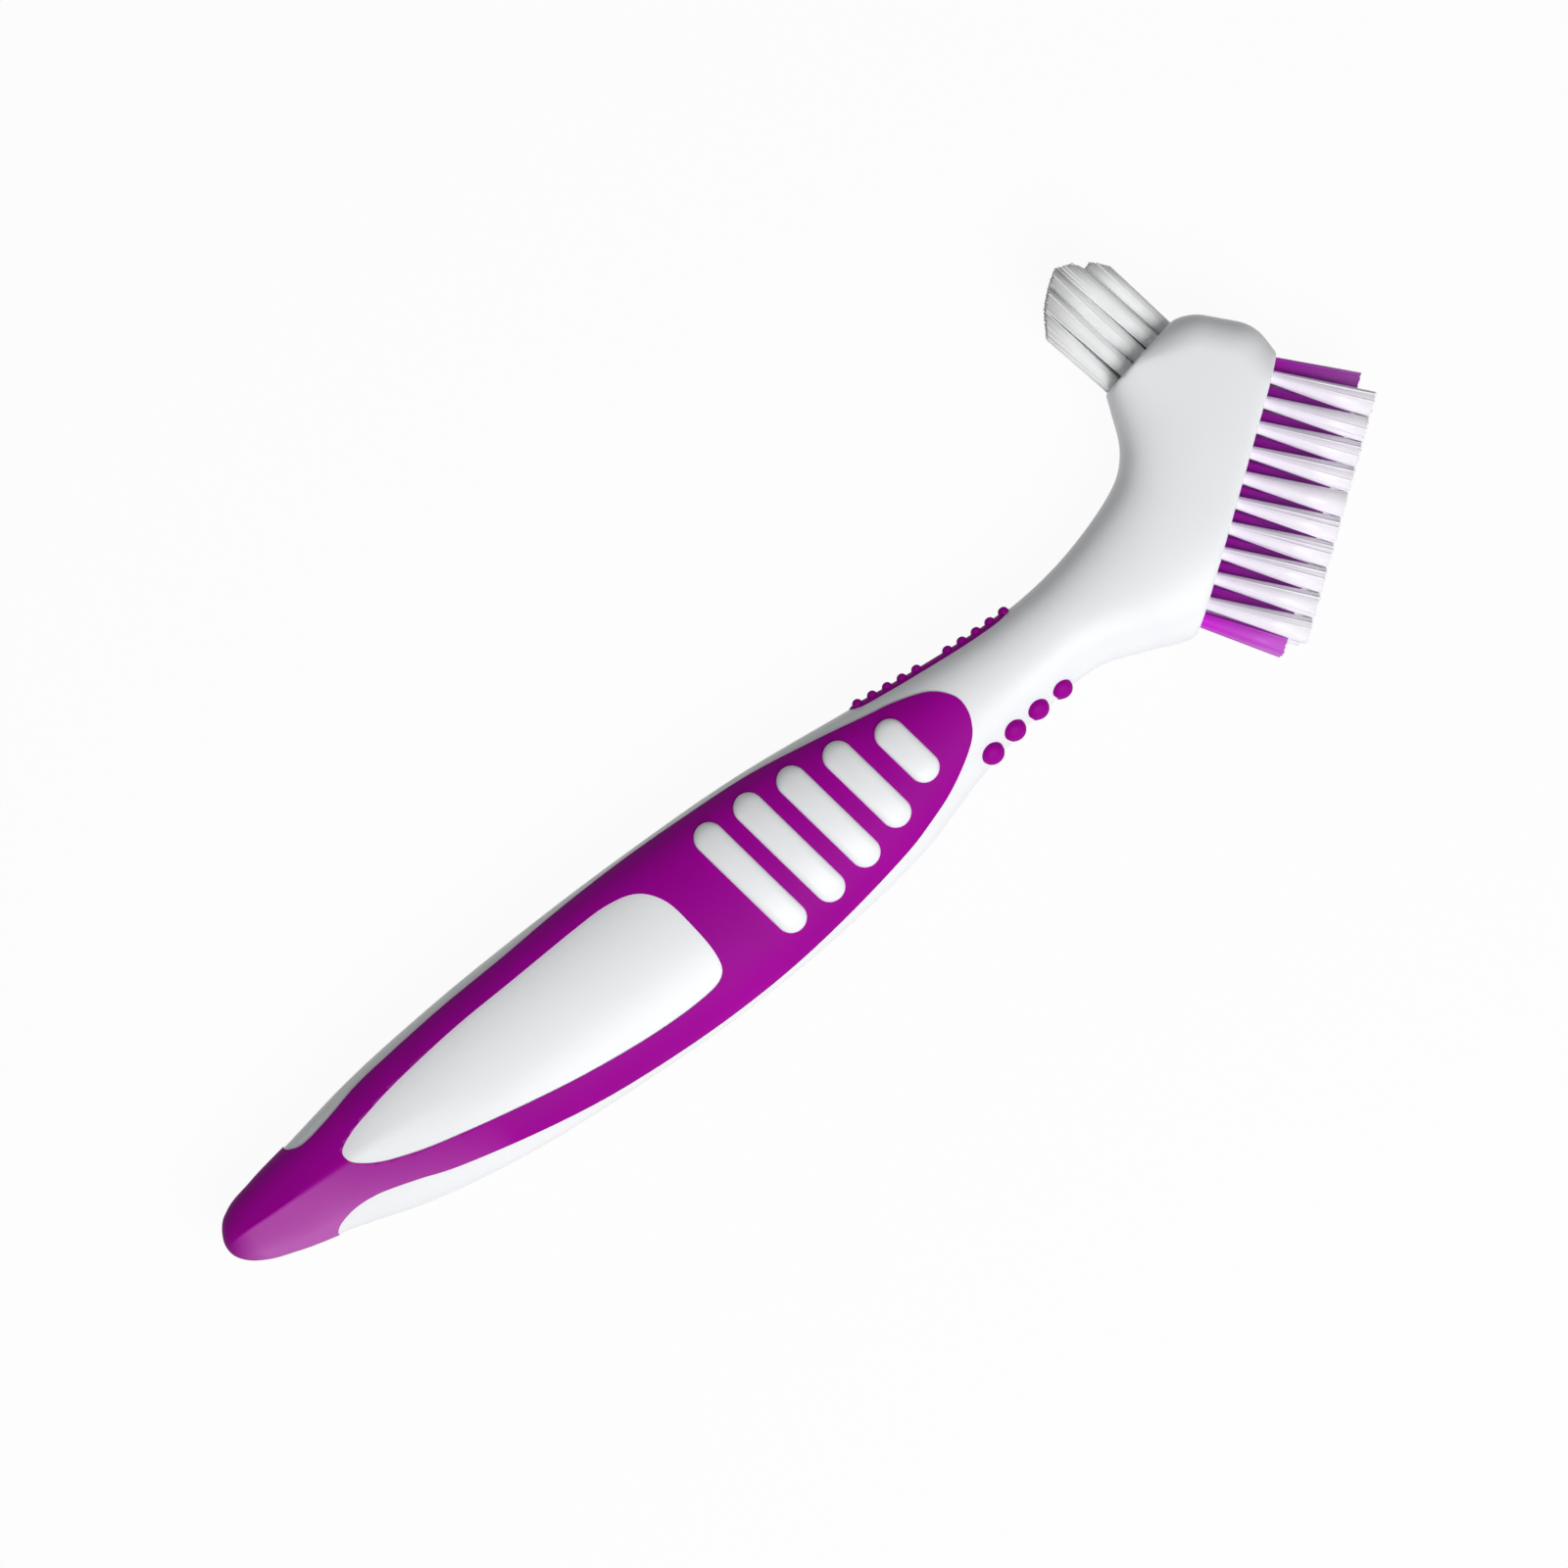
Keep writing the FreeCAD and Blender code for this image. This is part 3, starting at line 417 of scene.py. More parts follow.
def surface_tree(settings, offset):
    """The smooth form as a tree to shoot lines at."""
    probe = hull_piece("probe", settings, offset)
    tree = BVHTree.FromPolygons([v.co.copy() for v in probe.data.vertices],
                                [tuple(p.vertices) for p in probe.data.polygons])
    drop_piece(probe)
    return tree


def first_hit(tree, start, axis):
    """Where a line from a start, back along an axis, first meets the form, in millimetres."""
    way = Vector()
    way[axis] = -1.0
    hit = tree.ray_cast(Vector(start) * MM + PLAN_ZERO, way)[0]
    if hit is None:
        raise RuntimeError("no surface from %.1f, %.1f, %.1f" % start)
    return (hit[axis] - PLAN_ZERO[axis]) / MM


def height_over(tree, along, across):
    """Height of the near side over the mid-plane at a plan point."""
    return first_hit(tree, (along, across, FAR_OFF), 2)


def across_over(tree, along, height):
    """Across distance of the thumb edge at a place along and a height."""
    return first_hit(tree, (along, FAR_OFF, height), 1)


def finish_piece(piece, material, slot, *nodes):
    """Give a piece its finish and its body, and hide the nodes that it stands for."""
    piece.data.materials.clear()
    piece.data.materials.append(material)
    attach(piece, "root")
    if nodes:
        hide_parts(*nodes)


# Finishes.


def new_material(name):
    """A new material, its node tree and its principled surface."""
    material = bpy.data.materials.new(name)
    material.use_nodes = True
    return material, material.node_tree, material.node_tree.nodes["Principled BSDF"]


def set_inputs(node, values):
    """Set a node's inputs to plain values, and link the sockets among them."""
    for name, value in values.items():
        if isinstance(value, bpy.types.NodeSocket):
            node.id_data.links.new(value, node.inputs[name])
        else:
            node.inputs[name].default_value = value


def add_node(tree, kind, values, output, **options):
    """Add a node with its options and inputs, and give one of its outputs."""
    node = tree.nodes.new("ShaderNode" + kind)
    for name, option in options.items():
        setattr(node, name, option)
    set_inputs(node, values)
    return node.outputs[output]


def add_noise(tree, scale, detail=2.0):
    """A noise in the piece's own coordinates."""
    where = add_node(tree, "TexCoord", {}, "Object")
    return add_node(tree, "TexNoise", {"Vector": where, "Scale": scale, "Detail": detail}, "Fac")


def add_ramp(tree, share, stops):
    """Colours that follow a share, from (place, colour) stops."""
    ramp = add_node(tree, "ValToRGB", {"Fac": share}, "Color")
    for element, (spot, colour) in zip(ramp.node.color_ramp.elements, stops):
        element.position = spot
        element.color = (*colour, 1.0)
    return ramp


def moulded_plastic(name, colour, roughness, grain, sink, cloud, spread):
    """Moulded plastic: cloudy colour, uneven gloss and a fine spark-eroded grain."""
    material, tree, surface = new_material(name)
    clouds = add_noise(tree, cloud, 3.0)
    dark = [c * (1 - spread) for c in colour]
    light = [min(c * (1 + spread), 1.0) for c in colour]
    gloss = {"Value": clouds, "To Min": roughness - 0.04, "To Max": roughness + 0.06}
    bump = {"Height": add_noise(tree, grain), "Strength": sink, "Distance": 0.00005}
    set_inputs(surface, {
        "Base Color": add_ramp(tree, clouds, ((0.3, dark), (0.7, light))),
        "Roughness": add_node(tree, "MapRange", gloss, "Result"),
        "Normal": add_node(tree, "Bump", bump, "Normal")})
    return material


def hard_white_plastic(settings):
    """Satin white polypropylene, a little light passing under its skin."""
    material = moulded_plastic("hard_white_plastic", settings.white, roughness=0.36,
                               grain=2600.0, sink=0.12, cloud=40.0, spread=0.015)
    set_inputs(material.node_tree.nodes["Principled BSDF"], {
        "Subsurface Weight": 0.12, "Subsurface Radius": (0.0012, 0.0012, 0.0014),
        "Subsurface Scale": 1.0, "IOR": 1.49, "Specular IOR Level": 0.3})
    return material


def soft_purple_plastic(settings):
    """Dull thermoplastic rubber, with a pale painted highlight on the tail cap's lower slope."""
    material = moulded_plastic("soft_purple_rubber", settings.purple, roughness=0.55,
                               grain=3400.0, sink=0.2, cloud=70.0, spread=0.06)
    tree = material.node_tree
    # Painted highlight: the rubber's colour is mixed towards a pale sheen colour by the marked
    # share.
    mark = add_node(tree, "Attribute", {}, "Fac", attribute_name="painted_sheen")
    pale = {"Factor": mark, "A": tree.nodes["Color Ramp"].outputs["Color"],
            "B": (*settings.painted_sheen, 1.0)}
    set_inputs(tree.nodes["Principled BSDF"], {
        "Base Color": add_node(tree, "Mix", pale, "Result", data_type="RGBA"),
        "Specular IOR Level": 0.06})
    return material


def mark_points(mesh, name, values):
    """Give every point of a mesh a named value."""
    mesh.attributes.new(name, "FLOAT", "POINT").data.foreach_set("value", values)


def mark_painted_sheen(mesh):
    """Mark where the tail cap's lower slope, turned to the light, gets its painted pale
    highlight.
    """
    shares = []
    for vertex in mesh.vertices:
        along = (vertex.co.x - PLAN_ZERO.x) / MM
        near_tail = np.interp(along, PAINTED_SHEEN_ALONG, (0.0, 1.0, 1.0, 0.0))
        # Painted highlight: strongest where the skin faces the lower edge, towards the key light.
        shares.append(near_tail * min(max(-PAINTED_SHEEN_TURN * vertex.normal.y, 0.0), 1.0))
    mark_points(mesh, "painted_sheen", shares)


def filament_nylon(name, root, tip, shine):
    """Drawn nylon filaments, their colour fading from root to tip."""
    material, tree, surface = new_material(name)
    reach = add_node(tree, "Attribute", {}, "Fac", attribute_name="reach")
    vary = {"Factor": 0.08, "A": add_ramp(tree, reach, ((0.0, root), (1.0, tip))),
            "B": add_noise(tree, 900.0)}
    set_inputs(surface, {
        "Base Color": add_node(tree, "Mix", vary, "Result", data_type="RGBA",
                               blend_type="MULTIPLY"),
        "Roughness": 0.33, "IOR": 1.53, "Specular IOR Level": shine})
    return material


def rolled_metal(name):
    """Thin rolled nickel silver with a slightly uneven gloss."""
    material, tree, surface = new_material(name)
    gloss = {"Value": add_noise(tree, 1500.0), "To Min": 0.25, "To Max": 0.45}
    set_inputs(surface, {
        "Base Color": (0.62, 0.55, 0.4, 1.0), "Metallic": 1.0,
        "Roughness": add_node(tree, "MapRange", gloss, "Result")})
    return material


def mix_by_sight(tree, share, hidden, seen):
    """Show one shader to the camera, glosses and clear bodies by a share, another to the rest."""
    path = tree.nodes.new("ShaderNodeLightPath").outputs
    sight = path["Is Camera Ray"]
    for kind in ("Is Glossy Ray", "Is Transmission Ray"):
        sight = add_node(tree, "Math", {0: sight, 1: path[kind]}, "Value", operation="MAXIMUM")
    share = add_node(tree, "Math", {0: sight, 1: share}, "Value", operation="MULTIPLY")
    return add_node(tree, "MixShader", {"Fac": share, 1: hidden, 2: seen}, "Shader")


# Settings.


def colour_property(name, description, default):
    """A colour in the panel."""
    return FloatVectorProperty(name=name, description=description, subtype="COLOR", size=3,
                               default=default, min=0.0, max=1.0)


def length_property(name, description, default, low=0.0):
    """A length or a place in the panel, in millimetres."""
    return FloatProperty(name=name, description=description + ", in millimetres",
                         default=default, min=low)


def angle_property(name, description, degrees):
    """An angle in the panel."""
    return FloatProperty(name=name, description=description, default=math.radians(degrees),
                         subtype="ANGLE")


def count_property(name, description, default, low=0):
    """A whole number in the panel."""
    return IntProperty(name=name, description=description, default=default, min=low)


class HandleSettings(bpy.types.PropertyGroup):
    """Hard white moulding."""

    white: colour_property("White", "Colour of the hard plastic", (0.84, 0.855, 0.875))
    lengthwise_steps: count_property("Lengthwise steps", "Sections from tail to head", 320, 60)
    ring_points: count_property("Ring points", "Points round one section", 96, 24)
    edge_softness: FloatProperty(
        name="Edge softness", description="Grain of the rounding of moulded edges",
        default=0.00042, min=0.0002, unit="LENGTH")
    edge_rounds: count_property("Edge rounds", "Smoothing passes over moulded edges", 4)
    head_half: length_property("Head half thickness", "Mid-plane to broad side", 8.0, 1.0)
    back_round: length_property("Back rounding", "Rounding of the head's back edge", 5.0, 0.1)
    back_corner: length_property("Back corner", "Corner rounding of the back edge", 2.0, 0.1)


class GripSettings(bpy.types.PropertyGroup):
    """Soft purple moulding, ribs, thumb pad and finger dots."""

    purple: colour_property("Purple", "Colour of the soft plastic", (0.315, 0.0, 0.28))
    # Colour of the painted highlight on the tail cap's lower slope, not a colour of the rubber.
    painted_sheen: colour_property("Painted sheen", "Pale bloom on the tail cap", (0.47, 0.11, 0.43))
    proud: length_property("Proud", "Soft skin over the hard plastic", 0.14)
    thickness: length_property("Thickness", "Soft skin", 1.4, 0.3)
    rib_width: length_property("Rib width", "Raised rib", 4.1, 0.5)
    rib_rise: length_property("Rib rise", "Raised rib over the skin", 0.7, 0.1)
    rib_tilt: angle_property("Rib tilt", "Ribs against the cross direction", 9.4)
    pad_start: length_property("Pad start", "Thumb pad's tail end", 105.4)
    pad_end: length_property("Pad end", "Thumb pad's head end", 129.8)
    pad_width: length_property("Pad width", "Thumb pad from side to side", 4.6)
    nub_radius: length_property("Nub radius", "Cross nub", 0.68)
    nub_length: length_property("Nub length", "Cross nub", 3.6)
    nub_pitch: length_property("Nub pitch", "One cross nub to the next", 2.2)
    dot_radius: length_property("Dot radius", "Finger dot", 1.62)
    dot_height: length_property("Dot height", "Finger dot over the neck", 1.25)
    dot_pitch: length_property("Dot pitch", "One finger dot to the next", 4.07)
    dot_start: length_property("Dot start", "First finger dot along the handle", 116.9)
    dot_lean: angle_property("Dot lean", "Finger dots' lean to the lower edge", 38.0)


class TuftSettings(bpy.types.PropertyGroup):
    """Filament tufts of both brushes."""

    filaments: count_property("Filaments", "Filaments in one tuft", 60, 6)
    filament_radius: length_property("Filament radius", "One filament", 0.1, 0.02)
    filament_sides: count_property("Filament sides", "Sides of one filament", 5, 3)
    seed: count_property("Seed", "Seed of the filaments' spread", 7)
    root_radius: length_property("Root radius", "Tuft at its socket", 0.86)
    socket_depth: length_property("Socket depth", "Filaments inside the head", 1.2)
    large_pitch: length_property("Large pitch", "One line to the next of its colour", 3.36)
    large_middle: length_property("Large middle", "From the large face's lower corner", 18.6)
    outer_row: length_property("Outer rows", "White rows from the mid-plane", 4.95)
    inner_row: length_property("Inner rows", "Purple rows from the mid-plane", 1.65)
    white_length: length_property("White length", "White tuft over the face", 13.7)
    white_spread: length_property("White spread", "White tuft's radius at its tip", 1.85)
    purple_length: length_property("Purple length", "Purple tuft over the face", 11.4)
    purple_spread: length_property("Purple spread", "Purple tuft's radius at its tip", 1.25)
    end_lean: FloatProperty(
        name="End lean", description="Outward lean of the end tufts", default=0.05)
    end_growth: FloatProperty(
        name="End growth", description="End tufts against the others", default=1.22)
    end_shift: length_property("End shift", "End tufts outward", 0.25)
    small_pitch: length_property("Small pitch", "Columns of the small brush", 2.42)
    small_row: length_property("Small rows", "Rows of the small brush", 2.5)
    small_middle: length_property("Small middle", "From the small face's left corner", 5.95)
    small_root: length_property("Small root", "Small tuft at its socket", 1.2)
    small_spread: length_property("Small spread", "Small tuft's radius at its tip", 1.42)
    white_root: colour_property("White root", "White filaments, socket", (0.90, 0.82, 0.96))
    white_tip: colour_property("White tip", "White filaments, tip", (0.95, 0.92, 0.98))
    small_white: colour_property("Small white", "Small brush", (0.95, 0.955, 0.96))
    purple_root: colour_property("Purple root", "Purple filaments, socket", (0.55, 0.01, 0.58))
    purple_tip: colour_property("Purple tip", "Purple filaments, tip", (0.56, 0.12, 0.62))


class StageSettings(bpy.types.PropertyGroup):
    """Floor, light and camera."""

    view_along: length_property("View along", "Middle of the view in plan", 92.9)
    view_across: length_property("View across", "Middle of the view in plan", 4.3, -100.0)
    view_width: FloatProperty(
        name="View width", description="Width of the view at the mid-plane", default=0.2033,
        unit="LENGTH")
    turn: angle_property("Turn", "Handle against the picture's lower edge", 36.5)
    lens: length_property("Lens", "Camera lens", 120.0)
    key_power: FloatProperty(
        name="Key light", description="Power of the key light", default=3.2, unit="POWER")
    fill_level: FloatProperty(
        name="Fill", description="Strength of the world as a light", default=0.16)
    backdrop_level: FloatProperty(
        name="Backdrop", description="Strength of the world as the camera sees it",
        default=0.98, min=0.0, max=1.0)
    floor_colour: colour_property("Floor", "Colour of the floor", (0.7, 0.7, 0.7))
    floor_glow: FloatProperty(
        name="Floor glow", description="Share of the floor that the camera sees as plain white",
        default=0.95, min=0.0, max=1.0)


class DentureBrushSettings(bpy.types.PropertyGroup):
    """All settings of the denture brush."""

    handle: PointerProperty(type=HandleSettings)
    grip: PointerProperty(type=GripSettings)
    tufts: PointerProperty(type=TuftSettings)
    stage: PointerProperty(type=StageSettings)


# Pieces.


def slope_of(low, high):
    """Rise of a plan line from one point to another, against its run."""
    return (high[1] - low[1]) / (high[0] - low[0])


def head_outline():
    """Plan outline that cuts the form to the head's faces, open round the handle."""
    deep = BELLY_LOW - CLEAR
    wide = SMALL_FACE_RIGHT[1] + CLEAR
    tail = TAIL_TIP - CLEAR
    run = (deep - LARGE_FACE_LOW[1]) / slope_of(LARGE_FACE_LOW, LARGE_FACE_HIGH)
    rise = CLEAR * slope_of(SMALL_FACE_LEFT, SMALL_FACE_RIGHT)
    left = (SMALL_FACE_LEFT[0] - CLEAR, SMALL_FACE_LEFT[1] - rise)
    return [(LARGE_FACE_LOW[0] + run, deep), LARGE_FACE_HIGH, BACK_EDGE_LOW, BACK_EDGE_HIGH,
            SMALL_FACE_RIGHT, left, (left[0], wide), (tail, wide), (tail, deep)]


def plan_gap(point, spot):
    """Distance between two points in plan."""
    return math.hypot(point.x - spot.x, point.y - spot.y)


def rounded_head_blank(handle):
    """The head's prism with its back corners and back edges rounded."""
    blank = prism_piece("head_blank", head_outline(), handle.head_half)
    low, high = (place([(*corner, 0.0)])[0] for corner in (BACK_EDGE_LOW, BACK_EDGE_HIGH))
    middle = (low + high) / 2
    work = bmesh.new()
    work.from_mesh(blank.data)
    corners = []
    for edge in work.edges:
        a, b = (vertex.co for vertex in edge.verts)
        if plan_gap(a, b) < TOUCH and min(plan_gap(a, low), plan_gap(a, high)) < TOUCH:
            corners.append(edge)
    bmesh.ops.bevel(work, geom=corners, offset=handle.back_corner * MM, segments=6,
                    profile=0.5, affect="EDGES")
    rims = []
    for edge in work.edges:
        a, b = (vertex.co for vertex in edge.verts)
        near = plan_gap((a + b) / 2, middle) < (low - high).length * BACK_REACH
        if near and abs(a.z - b.z) < TOUCH:
            rims.append(edge)
    bmesh.ops.bevel(work, geom=rims, offset=handle.back_round * MM, segments=8,
                    profile=0.5, affect="EDGES")
    work.to_mesh(blank.data)
    work.free()
    return blank


class DENTUREBRUSH_OT_handle(bpy.types.Operator):
    """Build the hard white handle with its softly rounded moulded edges"""

    bl_idname = "denture_brush.handle"
    bl_label = "Hard handle"

    def execute(self, context):
        handle = context.scene.denture_brush.handle
        piece = hull_piece("hard_handle", handle, 0.0)
        carve(piece, rounded_head_blank(handle), "INTERSECT")
        remesh = piece.modifiers.new("edge_rounding", "REMESH")
        remesh.mode = "VOXEL"
        remesh.voxel_size = handle.edge_softness
        soften = piece.modifiers.new("edge_softening", "SMOOTH")
        soften.factor = 0.5
        soften.iterations = handle.edge_rounds
        settle(piece)
        piece.data.shade_smooth()
        finish_piece(piece, hard_white_plastic(handle), "hard_white", "handle_body")
        return {"FINISHED"}


def rib_stops(length):
    """Places round a round-ended rib: reach along its middle line, and turn at it."""
    stops = []
    for half, way in ((0, 1), (1, -1)):
        stops += [(way * length / 2, math.pi * (half + i / RIB_END_STEPS))
                  for i in range(RIB_END_STEPS + 1)]
        stops += [(way * length * (0.5 - i / RIB_SIDE_STEPS), math.pi * (half + 1))
                  for i in range(1, RIB_SIDE_STEPS)]
    return stops


def rib_crest_faces(first):
    """Faces that bridge a rib's last ring from side to side. The ring starts at a number."""
    half = RIB_END_STEPS + RIB_SIDE_STEPS
    tip = RIB_END_STEPS // 2
    left = [tip + i for i in range(half + 1)]
    right = [(tip - i) % (2 * half) for i in range(half + 1)]
    faces = []
    for i in range(half):
        corners = (left[i], left[i + 1], right[i + 1], right[i])
        faces.append(tuple(dict.fromkeys(first + corner for corner in corners)))
    return faces


def rib_rings(tree, grip, middle, length, side):
    """Rings of one raised rib, from its root under the skin to its crest."""
    run = Vector((-math.sin(grip.rib_tilt), math.cos(grip.rib_tilt)))
    sideways = Vector((math.cos(grip.rib_tilt), math.sin(grip.rib_tilt)))
    rings = []
    for inset, rise in RIB_PROFILE:
        ring = []
        for reach, turn in rib_stops(length):
            spoke = sideways * math.cos(turn) + run * math.sin(turn)
            spot = Vector(middle) + run * reach + spoke * (grip.rib_width / 2 * (1 - inset))
            height = height_over(tree, spot.x, spot.y) + rise * grip.rib_rise
            ring.append(Vector((spot.x, spot.y, side * height)))
        rings.append(ring)
    return rings


class DENTUREBRUSH_OT_ribs(bpy.types.Operator):
    """Build the raised white ribs of both thumb fields"""

    bl_idname = "denture_brush.ribs"
    bl_label = "Raised ribs"

    def execute(self, context):
        settings = context.scene.denture_brush
        tree = surface_tree(settings.handle, settings.grip.proud)
        for side, label in ((1, "near"), (-1, "far")):
            points = []
            faces = []
            for along, across, length in RIBS:
                rings = rib_rings(tree, settings.grip, (along, across), length, side)
                shift = len(points)
                points += [point for ring in rings for point in ring]
                faces += tube_faces(len(rings), len(rings[0]), shift)[:-1]
                faces += rib_crest_faces(len(points) - len(rings[0]))
            piece = mesh_piece("raised_ribs_" + label, place(points), faces)
            finish_piece(piece, bpy.data.materials["hard_white_plastic"], "hard_white")
        return {"FINISHED"}


class DENTUREBRUSH_OT_grip(bpy.types.Operator):
    """Build the soft purple skin with its window, round the tail cap and up to the nose"""

    bl_idname = "denture_brush.grip"
    bl_label = "Soft grip"

    def execute(self, context):
        settings = context.scene.denture_brush
        grip = settings.grip
        piece = hull_piece("soft_grip", settings.handle, grip.proud)
        panel = smooth_line(PANEL_EDGE, 8, closed=False)
        deep, wide, tail = BELLY_LOW - CLEAR, BELLY_HIGH + CLEAR, TAIL_TIP - CLEAR
        panel += [(PANEL_EDGE[-1][0], deep), (tail, deep), (tail, wide), (PANEL_EDGE[0][0], wide)]
        carve(piece, prism_piece("panel", panel, THROUGH), "INTERSECT")
        window = smooth_line(WINDOW_EDGE, 8, closed=True)
        carve(piece, prism_piece("window", window, THROUGH), "DIFFERENCE")
        carve(piece, hull_piece("inside", settings.handle, grip.proud - grip.thickness),
              "DIFFERENCE")
        crisp(piece, 35.0)
        # Mark the tail cap's lower slope for its painted pale highlight.
        mark_painted_sheen(piece.data)
        finish_piece(piece, soft_purple_plastic(grip), "soft_purple", "grip_shell")
        return {"FINISHED"}


def strip_rings(tree, grip):
    """Rings of the bare thumb strip, its top a little proud of the neck, its root under it."""
    half = grip.pad_width / 2
    length = grip.pad_end - grip.pad_start - 2 * PAD_TRIM
    points = []
    for i in range(PAD_STOPS):
        share = 0.5 - 0.5 * math.cos(math.pi * i / (PAD_STOPS - 1))
        along = grip.pad_start + PAD_TRIM + length * share
        round_off = max(grip.pad_start + half - along, along - grip.pad_end + half, 0.0) / half
        width = half * math.sqrt(max(1 - round_off**2, 0.0))
        top = []
        root = []
        for j in range(PAD_LANES):
            lane = -1 + 2 * j / (PAD_LANES - 1)
            edge = across_over(tree, along, lane * width)
            shoulder = max(abs(lane) - 1 + PAD_SHOULDER, round_off - 1 + PAD_SHOULDER, 0.0)
            rise = PAD_TOP - PAD_FALL * shoulder / PAD_SHOULDER
            top.append(Vector((along, edge + rise, lane * width)))
            root.append(Vector((along, edge + PAD_ROOT, lane * width)))
        points += top + root[::-1]
    return points


def nub_rings(tree, grip, along):
    """Rings of one round-ended cross nub."""
    reach = grip.nub_length / 2
    across = across_over(tree, along, 0.0) + NUB_RISE
    stops = [(-reach + inset, share) for inset, share in NUB_END] + [(0.0, 1.0)]
    stops += [(reach - inset, share) for inset, share in reversed(NUB_END)]
    points = []
    for height, share in stops:
        radius = grip.nub_radius * share
        points += [Vector((along + radius * x, across + radius * y, height))
                   for x, y in spokes(NUB_SIDES)]
    return points


class DENTUREBRUSH_OT_thumb_pad(bpy.types.Operator):
    """Build the soft strip with cross nubs on the thumb edge of the neck"""

    bl_idname = "denture_brush.thumb_pad"
    bl_label = "Thumb pad"

    def execute(self, context):
        settings = context.scene.denture_brush
        grip = settings.grip
        tree = surface_tree(settings.handle, 0.0)
        points = strip_rings(tree, grip)
        faces = tube_faces(PAD_STOPS, 2 * PAD_LANES)
        for group in NUB_GROUPS:
            for number in range(NUBS_PER_GROUP):
                nub = nub_rings(tree, grip, group + number * grip.nub_pitch)
                faces += tube_faces(len(nub) // NUB_SIDES, NUB_SIDES, len(points))
                points += nub
        piece = mesh_piece("thumb_strip", place(points), faces)
        crisp(piece, 50.0)
        finish_piece(piece, bpy.data.materials["soft_purple_rubber"], "soft_purple", "thumb_pad")
        return {"FINISHED"}


def dot_rings(grip, seat, share, side):
    """Rings of one domed dot, leaning towards the lower edge."""
    out = Vector((0, -math.sin(grip.dot_lean), math.cos(grip.dot_lean)))
    tangent = out.cross(Vector((1, 0, 0)))
    points = []
    for width, rise in DOT_PROFILE:
        for x, y in spokes(DOT_SIDES):
            spoke = Vector((1, 0, 0)) * x + tangent * y
            point = (seat + spoke * (grip.dot_radius * share * width)
                     + out * (grip.dot_height * share * rise))
            points.append(Vector((point.x, point.y, side * point.z)))
    return points


class DENTUREBRUSH_OT_finger_dots(bpy.types.Operator):
    """Build the soft domed dots on both sides of the neck's lower edge"""

    bl_idname = "denture_brush.finger_dots"
    bl_label = "Finger dots"

    def execute(self, context):
        settings = context.scene.denture_brush
        grip = settings.grip
        tree = surface_tree(settings.handle, 0.0)
        for side, label in ((1, "near"), (-1, "far")):
            points = []
            faces = []
            for number, (across, share) in enumerate(DOTS):
                along = grip.dot_start + number * grip.dot_pitch
                seat = Vector((along, across, height_over(tree, along, across)))
                faces += tube_faces(len(DOT_PROFILE), DOT_SIDES, len(points))
                points += dot_rings(grip, seat, share, side)
            piece = mesh_piece("soft_dots_" + label, place(points), faces)
            material = bpy.data.materials["soft_purple_rubber"]
            finish_piece(piece, material, "soft_purple", "finger_dots_" + label)
        return {"FINISHED"}


def trim_height(form, x):
    """Height of a tuft's brush over its face, at a distance from the tuft's middle."""
    marks, heights = zip(*form.trim)
    return float(np.interp(form.distance + x, marks, heights))


def filament_lines(tufts, random, form):
    """Centre lines of one tuft's filaments in the tuft's own place, root at zero."""
    lines = []
    golden = math.pi * (3 - math.sqrt(5))
    for number in range(tufts.filaments):
        share = math.sqrt((number + 0.5) / tufts.filaments)
        turn = golden * number + random.uniform(-ROOT_TURN, ROOT_TURN)
        root = share * (form.root - tufts.filament_radius)
        tip = share * (form.tip - tufts.filament_radius)
        tip *= random.uniform(1 - TIP_RADIUS, 1 + TIP_RADIUS)
        tip_turn = turn + random.uniform(-TIP_TURN, TIP_TURN)
        top = trim_height(form, tip * math.cos(tip_turn)) - random.uniform(0.0, TRIM)
        stops = []
        for t in (-tufts.socket_depth / top, *FILAMENT_STOPS):
            over = max(t, 0.0)
            radius = root + (tip - root) * over
            angle = turn + (tip_turn - turn) * over
            sway = form.lean * top * over
            stops.append((radius * math.cos(angle) + sway, radius * math.sin(angle), top * t))
        lines.append(np.array(stops))
    return lines


def tuft_heart(form):
    """Points and faces of a tuft's packed heart, just under its outer filaments."""
    points = []
    for t in HEART_STOPS:
        over = max(t, 0.0)
        radius = HEART_WIDTH * (form.root + (form.tip - form.root) * over)
        for x, y in spokes(HEART_SIDES):
            top = trim_height(form, radius * x)
            points.append((radius * x + form.lean * top * over, radius * y, top * t))
    return np.array(points), tube_faces(len(HEART_STOPS), HEART_SIDES)


def filament_tubes(tufts, lines):
    """Points and faces of round filaments along centre lines."""
    circle = np.array([(x, y, 0.0) for x, y in spokes(tufts.filament_sides)])
    points = []
    faces = []
    for line in lines:
        faces += tube_faces(len(line), len(circle), len(points) * len(circle))
        points += [stop + circle * (tufts.filament_radius * width)
                   for stop, width in zip(line, FILAMENT_WIDTHS)]
    return np.concatenate(points), faces


def tuft_piece(name, tufts, placing, rows, form, seed):
    """One cross line of tufts as a mesh of filaments, standing on its brush face."""
    random = np.random.default_rng(seed)
    points = []
    faces = []
    count = 0
    for row in rows:
        for part, part_faces in (tuft_heart(form),
                                 filament_tubes(tufts, filament_lines(tufts, random, form))):
            points.append(part + np.array([0.0, row, 0.0]))
            faces += [tuple(count + i for i in face) for face in part_faces]
            count += len(part)
    points = np.concatenate(points)
    mesh = bpy.data.meshes.new(name)
    mesh.from_pydata([tuple(placing @ Vector(p)) for p in points * MM], [], faces)
    mesh.shade_smooth()
    mark_points(mesh, "reach", np.clip(points[:, 2] / points[:, 2].max(), 0.0, 1.0))
    return link_object(name, mesh)


